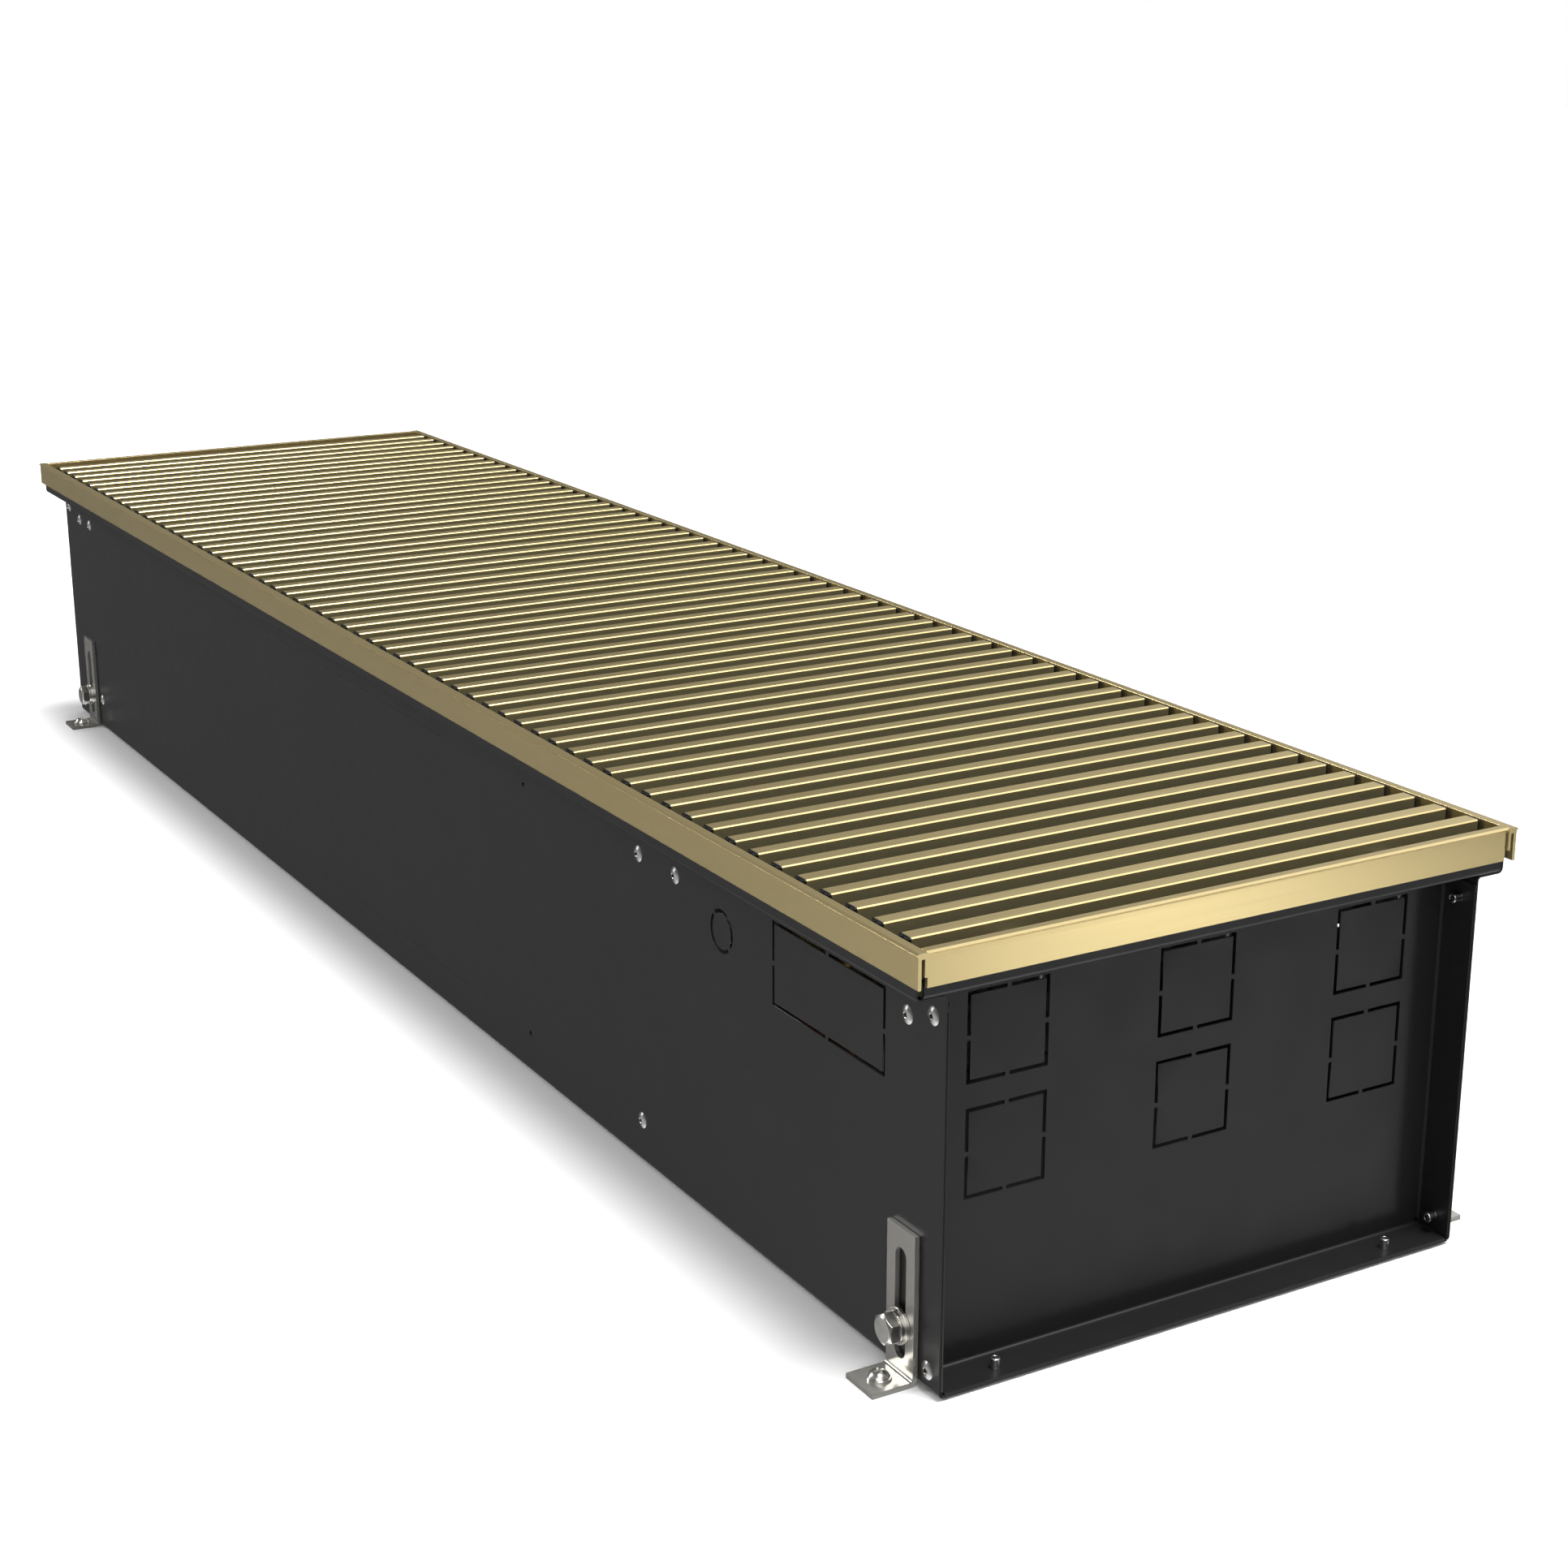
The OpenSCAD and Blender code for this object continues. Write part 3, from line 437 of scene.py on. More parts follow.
def plated_metal(name, tone, bright):
    """Metal with a thin bright plating: slightly cloudy reflections over faint pits 0.5 mm wide."""
    material, tree, surface, place = finish_named(name, Metallic=1.0)
    cloud = blotches(tree, place, 6)
    finished(tree, surface, blended(tree, between(tree, cloud, 0, 1), tone, bright),
             between(tree, cloud, 0.2, 0.27))
    roughened(tree, surface, blotches(tree, place, 0.5), 0.002, 0.3)
    return material


def rolled_steel():
    """Cold-rolled bracket steel, plated: nearly smooth, with faint rolling lines along the strip."""
    material, tree, surface, place = finish_named("rolled zinc plated steel", Metallic=0.72)
    lines = grain_lines(tree, place, "x", 0.3, 30)
    finished(tree, surface, blended(tree, between(tree, lines, 0, 1), "#AAA8A2", "#AFADA7"),
             between(tree, lines, 0.21, 0.24))
    roughened(tree, surface, lines, 0.002, 0.3)
    return material


def galvanised_sheet():
    """Hot-dip galvanised sheet: zinc crystals about 9 mm wide, each a slightly different grey."""
    material, tree, surface, place = finish_named("galvanised sheet", Metallic=1.0)
    crystals = add(tree, "ShaderNodeTexVoronoi", {"Vector": place, "Scale": 1 / (9 * MM)})
    tone = add(tree, "ShaderNodeSeparateColor", {"Color": crystals.outputs["Color"]}).outputs[0]
    finished(tree, surface, blended(tree, tone, "#8E9193", "#B4B8BA"),
             between(tree, tone, 0.3, 0.5, 0, 1))
    return material


def mill_aluminium():
    """Bare rolled fin foil: bright, with soft rolling lines up the fin."""
    material, tree, surface, place = finish_named("mill aluminium foil", Metallic=1.0)
    lines = grain_lines(tree, place, "xy", 0.8, 60)
    finished(tree, surface, blended(tree, lines, "#C4C7CA", "#D8DADC"), between(tree, lines, 0.25, 0.4))
    return material


def drawn_copper():
    """Drawn copper tube: orange metal with browner, duller patches where it was handled and soldered."""
    material, tree, surface, place = finish_named("drawn copper", Metallic=1.0)
    tarnish = between(tree, blotches(tree, place, 14, 5.0), 0, 1, 0.4, 0.65)
    finished(tree, surface, blended(tree, tarnish, "#B9745A", "#74452F"),
             between(tree, tarnish, 0.2, 0.45, 0, 1))
    return material


def machined_brass():
    """Turned and milled brass: yellow metal with rings left by the tool, 0.35 mm apart."""
    material, tree, surface, place = finish_named("machined brass", Metallic=1.0)
    rings = grain_lines(tree, place, "x", 0.35, 40)
    finished(tree, surface, blended(tree, rings, "#C9A24F", "#DDBB6A"), between(tree, rings, 0.18, 0.3))
    roughened(tree, surface, rings, 0.01, 0.4)
    return material


def moulded_plastic():
    """Moulded black nylon: a low sheen over spark-eroded grain about 0.4 mm wide."""
    material, tree, surface, place = finish_named("moulded nylon", IOR=1.53)
    grain = blotches(tree, place, 0.4)
    finished(tree, surface, blended(tree, grain, "#121316", "#1A1B20"), between(tree, grain, 0.3, 0.42))
    roughened(tree, surface, grain, 0.01, 0.3)
    return material


def extruded_rubber():
    """Extruded rubber strip: black and matt, with a dusty bloom in patches."""
    material, tree, surface, place = finish_named("extruded rubber", IOR=1.52)
    bloom = between(tree, blotches(tree, place, 30, 4.0), 0, 1)
    finished(tree, surface, blended(tree, bloom, "#141414", "#232323"),
             between(tree, bloom, 0.7, 0.85, 0, 1))
    return material


PAINT = powder_coated_steel()
FRAME_X = anodised_aluminium("anodised aluminium along", "x")
FRAME_Y = anodised_aluminium("anodised aluminium across", "y")
SLAT = slat_with_painted_light(span("grille_slats")[1].z)
BRACKET_STEEL = rolled_steel()
BOLT_ZINC = plated_metal("zinc plated bolt steel", "#E9E7E1", "#F2F0EA")
RIVET_STEEL = plated_metal("zinc plated rivet steel", "#B9B9B7", "#D2D2D0")
NICKEL = plated_metal("nickel plated brass", "#C3BEB2", "#D6D1C6")
GALVANISED = galvanised_sheet()
FOIL = mill_aluminium()
COPPER = drawn_copper()
BRASS = machined_brass()
NYLON = moulded_plastic()
RUBBER = extruded_rubber()

dress(GALVANISED, "bulkhead_valve", "bulkhead_blank", "strut_valve", "strut_middle", "strut_blank")


# Sheets of the casing. The cut ends of the walls and of the end plates' flanges lie side by side, and
# their broken edges leave a fine groove between them.

SHEET_T = 1.0
GROOVE = 0.4
RIVET_HEAD_H = 1.3


def from_cad(node):
    """A copy of a CAD node's mesh in millimetres, with the corners of its triangles merged."""
    return joined(moved(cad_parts[node].data, turn=Matrix.Scale(1 / MM, 4)))


def grooved(node):
    """The sheet from the CAD with the grooves along its upright edges."""
    end = span("trough")[1].x
    rivets = span("wall_rivets_right")[1]
    seam = rivets.y - RIVET_HEAD_H - SHEET_T
    corner = [(end + GROOVE, seam), (end, seam + GROOVE), (end - GROOVE, seam), (end, seam - GROOVE)]
    right = prism(corner, "z", 0, rivets.z)
    tools = [right, mirrored(right, "y")]
    if node != "end_plate_valve":
        tools += [mirrored(tool, "x") for tool in tools]
    return cut(from_cad(node), *tools)


make("trough", grooved("trough"), PAINT, "casing", "casing_paint", "trough")
make("end_plate_valve", grooved("end_plate_valve"), PAINT, "casing", "casing_paint", "end_plate_valve")
make("end_plate_blank", mirrored(grooved("end_plate_valve"), "x"), PAINT, "casing", "casing_paint",
     "end_plate_blank")


# Frame of four aluminium profiles

NOSE_W = 1.1
NOSE_DROP = 0.6
OUTER_LEG_T = 1.6
SLOT_W = 1.6
INNER_LEG_H = 10.4
FLANGE_T = 2.6
END_LEG_GAP = 0.6
side_low, side_high = span("frame_side_right")
cross_low, cross_high = span("frame_end_valve")


def frame_section(tip, low, high):
    """Section of a profile, from its nose at tip inwards; radii holds one radius for each corner."""
    leg_in = NOSE_W + OUTER_LEG_T
    flange_w = side_high.y - side_low.y
    corners = [(-flange_w, high), (-NOSE_W - NOSE_DROP, high), (0, high - NOSE_DROP),
               (-NOSE_W, high - NOSE_DROP - NOSE_W), (-NOSE_W, low), (-leg_in, low),
               (-leg_in, high - FLANGE_T), (-leg_in - SLOT_W, high - FLANGE_T),
               (-leg_in - SLOT_W, high - INNER_LEG_H), (-flange_w, high - INNER_LEG_H)]
    radii = [0.35, 0.5, 0.15, 0.3, 0.35, 0.3, 0.2, 0.2, 0.2, 0.3]
    return [(tip + u, v) for u, v in rounded(corners, radii)]


def frame_side():
    return prism(frame_section(side_high.y, side_low.z, side_high.z), "x", side_low.x, side_high.x)


def frame_cross():
    bar = prism(frame_section(cross_high.x, cross_low.z, cross_high.z), "y", cross_low.y, cross_high.y)
    leg = rectangle(cross_low.x - 1, cross_high.x + 1, cross_low.z - 1, cross_high.z - FLANGE_T)
    gap = prism(leg, "y", cross_high.y - END_LEG_GAP, cross_high.y + 1)
    return cut(bar, gap, mirrored(gap, "y"))


for name, bar, material in (("frame_side_right", frame_side(), FRAME_X),
                            ("frame_side_left", mirrored(frame_side(), "y"), FRAME_X),
                            ("frame_end_valve", frame_cross(), FRAME_Y),
                            ("frame_end_blank", mirrored(frame_cross(), "x"), FRAME_Y)):
    make(name, bar, material, "casing", "frame_anodised", name)


# Grille: hollow slats with end caps, on two cables with sleeves between the slats

SLAT_COUNT = 61
SLAT_W = 8.2
SLAT_WALL = 1.3
SLAT_CHAMFER = 0.6
CAP_BASE_T = 0.7
CAP_LOBES = ((-0.29, 0.17), (0.19, 0.27))      # middle and half width, as shares of the slat's width
CAP_MERGE = 0.1         # how deep the plug and the lobes reach into the base
LOBE_EDGE = 0.35
PLUG_LEN = 6
PLUG_CLEAR = 0.1
BORE_CHAMFER = 0.3      # chamfer of the slat's inside and of the plug in it
CABLE_CLEAR = 0.2
slats_low, slats_high = span("grille_slats")
cap_t = span("end_caps_right")[1].y - slats_high.y
cable_low, cable_high = span("link_cables")
sleeve_low, sleeve_high = span("link_sleeves")
stop_low, stop_high = span("cable_stops")
grille_y = (slats_low.y + slats_high.y) / 2
slat_end = slats_high.y - grille_y
slat_first = slats_low.x + SLAT_W / 2
slat_pitch = (slats_high.x - slats_low.x - SLAT_W) / (SLAT_COUNT - 1)
cable_z = (cable_low.z + cable_high.z) / 2
cable_r = (cable_high.z - cable_low.z) / 2
cable_y = cable_high.y - cable_r - grille_y
bore_r = cable_r + CABLE_CLEAR
sleeve_r = (sleeve_high.z - sleeve_low.z) / 2


def slat_outline(inset=0.0, chamfer=SLAT_CHAMFER):
    """Section of a slat: a rectangle with flat chamfers whose own edges are barely rounded."""
    half = SLAT_W / 2 - inset
    low, high = slats_low.z + inset, slats_high.z - inset
    corners = []
    for u, v in rectangle(-half, half, low, high):
        inwards = (-math.copysign(chamfer, u), chamfer if v == low else -chamfer)
        first, second = (u, v + inwards[1]), (u + inwards[0], v)
        corners += [first, second] if u * inwards[1] < 0 else [second, first]
    return rounded(corners, 0.12, 1)


def slat():
    bar = pipe(slat_outline(), slat_outline(SLAT_WALL, BORE_CHAMFER), "y", -slat_end, slat_end)
    holes = [moved(rod("x", bore_r, -SLAT_W, SLAT_W, 16), y=s * cable_y, z=cable_z) for s in (-1, 1)]
    return cut(bar, *holes)


def end_cap():
    """A plug in the slat, a flat base and two rounded lobes with a groove between them."""
    base_end = slat_end + CAP_BASE_T
    base = prism(slat_outline(), "y", slat_end, base_end)
    bore = slat_outline(SLAT_WALL + PLUG_CLEAR, BORE_CHAMFER)
    plug = prism(bore, "y", slat_end - PLUG_LEN, slat_end + CAP_MERGE)
    cap = cut(base, plug, how="UNION")
    foot = base_end - CAP_MERGE
    reach = slat_end + cap_t - foot
    for place, half in CAP_LOBES:
        lobe = [(SLAT_W * (place + half * u), foot + reach * v) for u, v in arc(1, 0, 180, 10)]
        bar = prism(lobe, "z", slats_low.z + SLAT_CHAMFER, slats_high.z - SLAT_CHAMFER)
        cap = cut(cap, eased(bar, LOBE_EDGE, 2, 50), how="UNION")
    return cap


CABLE_LAY = 26          # length of one turn of the strands
STRANDS = 6
STRAND_DIP = 0.84       # radius of the cable between two strands, as a share


def twisted_cable():
    """A steel cable: round strands laid round each other."""
    rings = []
    per_turn = 12
    count = round((cable_high.x - cable_low.x) / CABLE_LAY * per_turn)
    for i in range(count + 1):
        x = cable_low.x + (cable_high.x - cable_low.x) * i / count
        twist = 2 * math.pi * i / per_turn
        ring = []
        for k in range(2 * STRANDS):
            r = cable_r if k % 2 else STRAND_DIP * cable_r
            angle = twist + math.pi * k / STRANDS
            ring.append((x, cable_y + r * math.cos(angle), cable_z + r * math.sin(angle)))
        rings.append(ring)
    return joined(lofted(rings))


def collar(length, radius, bore, edge=0.4):
    """A tube along X with chamfered rims, centred at the origin."""
    half = length / 2
    profile = [(bore, -half), (radius - edge, -half), (radius, -half + edge), (radius, half - edge),
               (radius - edge, half), (bore, half)]
    return moved(turned(profile, 20, ring=True), turn=TO_X)


slat_row = in_a_row(slat(), SLAT, SLAT_COUNT, (slat_first, grille_y, 0), (slat_pitch, 0, 0))
make("grille_slats", slat_row, SLAT, "grille", "slat_anodised", "grille_slats", metres=True)
for side, name in ((1, "right"), (-1, "left")):
    cap = end_cap() if side == 1 else mirrored(end_cap(), "y")
    caps = in_a_row(cap, NYLON, SLAT_COUNT, (slat_first, grille_y, 0), (slat_pitch, 0, 0))
    make(f"end_caps_{name}", caps, NYLON, "grille", "cap_plastic", f"end_caps_{name}", metres=True)
sleeve = collar(slat_pitch - SLAT_W, sleeve_r, bore_r)
sleeve_pair = joined(*(moved(sleeve, y=s * cable_y) for s in (-1, 1)))
sleeves = in_a_row(sleeve_pair, NYLON, SLAT_COUNT - 1, (slat_first + slat_pitch / 2, grille_y, cable_z),
                   (slat_pitch, 0, 0))
make("link_sleeves", sleeves, NYLON, "grille", "cap_plastic", "link_sleeves", metres=True)
cable = twisted_cable()
cables = moved(joined(cable, mirrored(cable, "y")), y=grille_y)
make("link_cables", cables, BOLT_ZINC, "grille", "zinc_hardware", "link_cables")


GRUB_R = 1.25
stop_len = slats_low.x - stop_low.x


def cable_stop():
    """A turned ring with a grub screw's threaded hole in its top."""
    ring = collar(stop_len, sleeve_r, bore_r, 0.5)
    return eased(cut(ring, rod("z", GRUB_R, bore_r, 2 * sleeve_r, 16)), 0.1, 1)


stops = [(x, grille_y + s * cable_y, cable_z) for s in (-1, 1)
         for x in (stop_low.x + stop_len / 2, stop_high.x - stop_len / 2)]
make("cable_stops", at_places(cable_stop(), BOLT_ZINC, stops), BOLT_ZINC, "grille", "zinc_hardware",
     "cable_stops", metres=True)


def rest_strip():
    """A rubber strip with two grooves along its top."""
    low, high = span("rest_strip_right")
    third = (high.y - low.y) / 3
    groove = 0.5
    corners = [(low.y, low.z), (high.y, low.z), (high.y, high.z)]
    for k in (2, 1):
        y = low.y + k * third
        corners += [(y + groove, high.z), (y, high.z - 2 * groove), (y - groove, high.z)]
    corners.append((low.y, high.z))
    return prism(rounded(corners, 0.15, 2), "x", low.x, high.x)


make("rest_strip_right", rest_strip(), RUBBER, "casing", "strip_rubber", "rest_strip_right")
make("rest_strip_left", mirrored(rest_strip(), "y"), RUBBER, "casing", "strip_rubber", "rest_strip_left")


# Blind rivets

RIVET_HEAD_R = 4.3
RIVET_SHANK_R = 2.0
RIVET_TAIL_R = 2.4
RIVET_TAIL_LEN = 4.7
MANDREL_R = 1.1
MANDREL_PIT = 2.8
PIT_CHAMFER_W = 0.25
PIT_CHAMFER_H = 0.35
HEAD_RIM = 0.05
BARREL_LIP_R = 0.35
BARREL_END_R = 0.7
BARREL_BULGE_R = 0.5


def rivet(grip=2 * SHEET_T):
    """Head below z = 0, with the mandrel's hole in its middle, and the set barrel above the grip."""
    ball_r = (RIVET_HEAD_R ** 2 + RIVET_HEAD_H ** 2) / (2 * RIVET_HEAD_H)
    spread = math.degrees(math.asin(RIVET_HEAD_R / ball_r))
    inner = math.degrees(math.asin((MANDREL_R + PIT_CHAMFER_W) / ball_r))
    crown = arc(ball_r, -90 + inner, -90 + spread, 8, v=ball_r - RIVET_HEAD_H)
    pit = MANDREL_PIT - RIVET_HEAD_H
    top = grip + RIVET_TAIL_LEN
    stub = top - MANDREL_PIT
    profile = [(0, pit), (MANDREL_R, pit), (MANDREL_R, PIT_CHAMFER_H - RIVET_HEAD_H),
               *crown, (RIVET_HEAD_R, -HEAD_RIM), (RIVET_HEAD_R - 2 * HEAD_RIM, 0),
               (RIVET_SHANK_R, 0), (RIVET_SHANK_R, grip), (RIVET_TAIL_R - 0.15, grip),
               *arc(BARREL_BULGE_R, -60, 0, 2, RIVET_TAIL_R - BARREL_BULGE_R, grip + 0.9),
               *arc(BARREL_END_R, 0, 90, 5, RIVET_TAIL_R - BARREL_END_R, top - BARREL_END_R),
               *arc(BARREL_LIP_R, 90, 170, 3, MANDREL_R + 0.4, top - BARREL_LIP_R),
               (MANDREL_R, stub), (0.75, stub), (0.55, stub + 0.5), (0, stub + 0.6)]
    return turned(profile, 28)


STRUT_T = 1.2
FLANGE_RIVET_IN = 7
ROW_DROP = 6            # the upper row lies this much below the upper corner rivets
PAIR_RISE = 13.1        # the lower rivets of the bulkheads lie this much above the lowest ones
rivets_low, rivets_high = span("wall_rivets_right")
floor_low, floor_high = span("floor_rivets")


def middle(node):
    low, high = span(node)
    return (low + high) / 2


valve_flange_x = span("bulkhead_valve")[1].x - FLANGE_RIVET_IN
blank_flange_x = span("bulkhead_blank")[0].x + FLANGE_RIVET_IN
corner_x = rivets_high.x - RIVET_HEAD_R
corner_zs = (rivets_low.z + RIVET_HEAD_R, rivets_high.z - RIVET_HEAD_R)
row_z = corner_zs[1] - ROW_DROP
sheet_rivets = [(s * corner_x, z) for s in (-1, 1) for z in corner_zs]
pair_zs = (row_z, corner_zs[0] + PAIR_RISE)
sheet_rivets += [(x, z) for x in (valve_flange_x, blank_flange_x) for z in pair_zs]
strut_rivets = [(middle(node).x, row_z) for node in ("strut_valve", "strut_middle", "strut_blank")]
for side, name in ((1, "right"), (-1, "left")):
    wall_y = side * (rivets_high.y - RIVET_HEAD_H)
    sets = [at_places(rivet(grip), RIVET_STEEL, [(x, wall_y, z) for x, z in places], (side * 90, 0, 0))
            for grip, places in ((2 * SHEET_T, sheet_rivets), (SHEET_T + STRUT_T, strut_rivets))]
    make(f"wall_rivets_{name}", gathered(*sets), RIVET_STEEL, "casing", "rivet_steel",
         f"wall_rivets_{name}", metres=True)
floor_places = [(sx * (floor_high.x - RIVET_HEAD_R), sy * (floor_high.y - RIVET_HEAD_R),
                 floor_low.z + RIVET_HEAD_H) for sx in (-1, 1) for sy in (-1, 1)]
make("floor_rivets", at_places(rivet(), RIVET_STEEL, floor_places), RIVET_STEEL, "casing", "rivet_steel",
     "floor_rivets", metres=True)


# Feet: slotted brackets with their bolts, washers and floor screws

BOLT_R = 4.0
HEAD_AF = 13.0
HEAD_H = 5.28
HEAD_FACE_SHARE = 0.86
SLOT_R = 4.2
SLOT_TOP_GAP = 9.1
SLOT_FOOT_GAP = 9.3
BRACKET_T = 2.5
BRACKET_BEND_R = 1.5
BRACKET_EDGE = 0.22
SCREW_HOLE_R = 2.7
SCREW_IN = 9.8          # from the foot plate's edge to its screw
BOLT_LEN = 16
THREAD_PITCH = 1.25
THREAD_TURNS = 11
THREAD_DEPTH = 0.65
BOLT_SLACK = 0.05       # how far the thread's crests stay inside the bolt's nominal radius
HEAD_EDGE = 0.12
WASHER_CLEAR = 0.2
FLAT_T = 1.6
SPLIT_FROM = 98         # where the spring washer's ring starts and how far it goes round, in degrees
SPLIT_SWEEP = 344
flat_low, flat_high = span("flat_washers")
spring_low, spring_high = span("spring_washers")
nut_low, nut_high = span("clinch_nuts")
bolt_z = (flat_low.z + flat_high.z) / 2
foot_xs = [middle("foot_bracket_valve_right").x, middle("foot_bracket_blank_right").x]


def foot_bracket(node):
    """Leg and foot plate of one bent strip on the +Y side, with its slot and screw hole."""
    low, high = span(node)
    out = low.y + BRACKET_T
    r = BRACKET_BEND_R
    ell = [(low.y, high.z), (low.y, BRACKET_T + r)]
    ell += arc(r + BRACKET_T, 180, 270, 10, out + r, BRACKET_T + r)
    ell += [(high.y, low.z), (high.y, BRACKET_T), (out + r, BRACKET_T)]
    ell += arc(r, 270, 180, 8, out + r, BRACKET_T + r)
    ell += [(out, high.z)]
    strip = prism(ell, "x", low.x, high.x)
    mid = (low.x + high.x) / 2
    slot = arc(SLOT_R, 0, 180, 16, mid, high.z - SLOT_TOP_GAP - SLOT_R)
    slot += arc(SLOT_R, 180, 360, 16, mid, SLOT_FOOT_GAP + SLOT_R)
    screw = moved(rod("z", SCREW_HOLE_R, -1, BRACKET_T + 1), x=mid, y=high.y - SCREW_IN)
    return eased(cut(strip, prism(slot, "y", low.y - 1, out + 1), screw), BRACKET_EDGE, 2, 40)


def hexagon(across, phase):
    return arc(across / math.sqrt(3), phase, 360 + phase, 6)[:-1]


def foot_bolt():
    """A hexagon bolt, its head on the +Y side of its seat at 0: the head's corners are turned off."""
    head = prism(hexagon(HEAD_AF, 30), "z", 0, HEAD_H)
    corner = HEAD_AF / math.sqrt(3) + 0.05
    face = HEAD_FACE_SHARE * HEAD_AF / 2
    slope = math.tan(math.radians(30))
    cone = turned([(0, -1), (corner, -1), (corner, HEAD_H - slope * (corner - face)), (face, HEAD_H),
                   (0, HEAD_H)], 72)
    head = eased(cut(head, cone, how="INTERSECT"), HEAD_EDGE, 2, 25)
    root, crest = BOLT_R - THREAD_DEPTH, BOLT_R - BOLT_SLACK
    rings = []
    for k in range(THREAD_TURNS):
        z = k * THREAD_PITCH - BOLT_LEN
        rings += [(root, z), (root, z + 0.15), (crest, z + 0.55), (crest, z + 0.7)]
    shank = turned([(0, -BOLT_LEN), *rings[1:], (crest, 0.05), (0, 0.05)], 32)
    return moved(joined(head, shank), turn=TO_Y)


def spring_washer():
    """A split ring of square wire, with its cut ends a little apart."""
    inner = BOLT_R + WASHER_CLEAR
    outer = (spring_high.z - spring_low.z) / 2
    thick = spring_high.y - flat_high.y
    rings = []
    steps = 48
    section = rounded(rectangle(inner, outer, 0, thick), 0.3, 3)
    for k in range(steps + 1):
        angle = math.radians(SPLIT_FROM + SPLIT_SWEEP * k / steps)
        rings.append([(u * math.cos(angle), v, u * math.sin(angle)) for u, v in section])
    return joined(lofted(rings))


def plain_washer(inner, outer, thick, edge=0.25):
    """A punched washer round Z: its upper edges are rolled over, its lower ones nearly sharp."""
    burr = 0.08
    profile = [(inner, 0), (outer - burr, 0), (outer, burr),
               *arc(edge, 0, 90, 3, outer - edge, thick - edge),
               *arc(edge, 90, 180, 3, inner + edge, thick - edge)]
    return turned(profile, 56, ring=True)


def clinch_nut():
    """A threaded steel boss pressed in the wall: chamfered rims and a lip round its bore."""
    depth = nut_high.y - nut_low.y
    outer = (nut_high.z - nut_low.z) / 2
    bore = BOLT_R + 0.1
    profile = [(bore, 0.3), (BOLT_R + 0.6, 0), (outer - 0.4, 0), (outer, -0.7), (outer, 0.5 - depth),
               (outer - 0.5, -depth), (BOLT_R + 0.8, -depth), (bore, 0.6 - depth)]
    return moved(turned(profile, 40, ring=True), turn=TO_Y)


def pan_screw():
    """A pan-head screw from its seat at z = 0, with a cross recess that narrows downwards."""
    head_r, head_h = 5.0, 3.0
    shank_r, shank_len = 2.45, 3.2
    recess, edge = 1.6, 0.1
    ball_r = (head_r ** 2 + head_h ** 2) / (2 * head_h)
    spread = math.degrees(math.asin(head_r / ball_r))
    dome = arc(ball_r, 90 - spread, 90, 12, v=head_h - ball_r)
    dome[-1] = (0, head_h)
    shank = [(0, -shank_len), (shank_r, -shank_len), (shank_r, -0.1)]
    body = turned([*shank, (head_r - 0.15, 0), *dome], 48)
    blade_top, blade_foot = rectangle(-3, 3, -0.65, 0.65), rectangle(-1.6, 1.6, -0.4, 0.4)
    blade = joined(lofted([laid(blade_foot, "z", head_h - recess), laid(blade_top, "z", head_h + 0.3)]))
    cross = moved(blade, turn=Matrix.Rotation(math.pi / 2, 4, "Z"))
    return eased(cut(body, blade, cross), edge, 2, 35)


def each_foot(mesh, y):
    """The +Y piece at both +Y feet and its mirror at both -Y feet, at the height of the bolts."""
    pair = joined(*(moved(mesh, x=x, y=y, z=bolt_z) for x in foot_xs))
    return joined(pair, mirrored(pair, "y"))


flat_r = (flat_high.z - flat_low.z) / 2
flat_washer = moved(plain_washer(BOLT_R + WASHER_CLEAR, flat_r, FLAT_T), turn=TO_Y)
for name, mesh, y, material, slot in (
        ("foot_bolts", foot_bolt(), spring_high.y, BOLT_ZINC, "zinc_hardware"),
        ("spring_washers", spring_washer(), flat_high.y, BOLT_ZINC, "zinc_hardware"),
        ("flat_washers", flat_washer, flat_high.y - FLAT_T, BOLT_ZINC, "zinc_hardware"),
        ("clinch_nuts", clinch_nut(), nut_high.y, RIVET_STEEL, "rivet_steel")):
    make(name, each_foot(mesh, y), material, "casing", slot, name)
for end in ("valve", "blank"):
    for side, name in ((1, "right"), (-1, "left")):
        foot = f"{end}_{name}"
        bracket = foot_bracket(f"foot_bracket_{end}_right")
        washer_low, washer_high = span(f"foot_washer_{end}_right")
        seat = (washer_low + washer_high) / 2
        washer = plain_washer(SCREW_HOLE_R, (washer_high.x - washer_low.x) / 2,
                              washer_high.z - washer_low.z, 0.2)
        washer = moved(washer, x=seat.x, y=seat.y, z=washer_low.z)
        screw = moved(pan_screw(), x=seat.x, y=seat.y, z=washer_high.z)
        parts = {"bracket": (bracket, BRACKET_STEEL, "foot_steel"),
                 "washer": (washer, BOLT_ZINC, "zinc_hardware"),
                 "screw": (screw, BOLT_ZINC, "zinc_hardware")}
        for part, (mesh, material, slot) in parts.items():
            if side == -1:
                mesh = mirrored(mesh, "y")
            make(f"foot_{part}_{foot}", mesh, material, f"foot_{foot}", slot, f"foot_{part}_{foot}")


# Coil: fins on six tubes, return bends, unions and the air vent

TUBE_R = 7.5
TUBE_WALL = 1.0
FIN_PITCH = 5.0
FIN_T = 0.3
FIN_CORNER = 3
FIN_CLEAR = 0.15
fin_low, fin_high = span("coil_fins")
tube_low, tube_high = span("coil_tubes")
tube_ys = [tube_low.y + TUBE_R, (tube_low.y + tube_high.y) / 2, tube_high.y - TUBE_R]
tube_zs = [tube_low.z + TUBE_R, tube_high.z - TUBE_R]


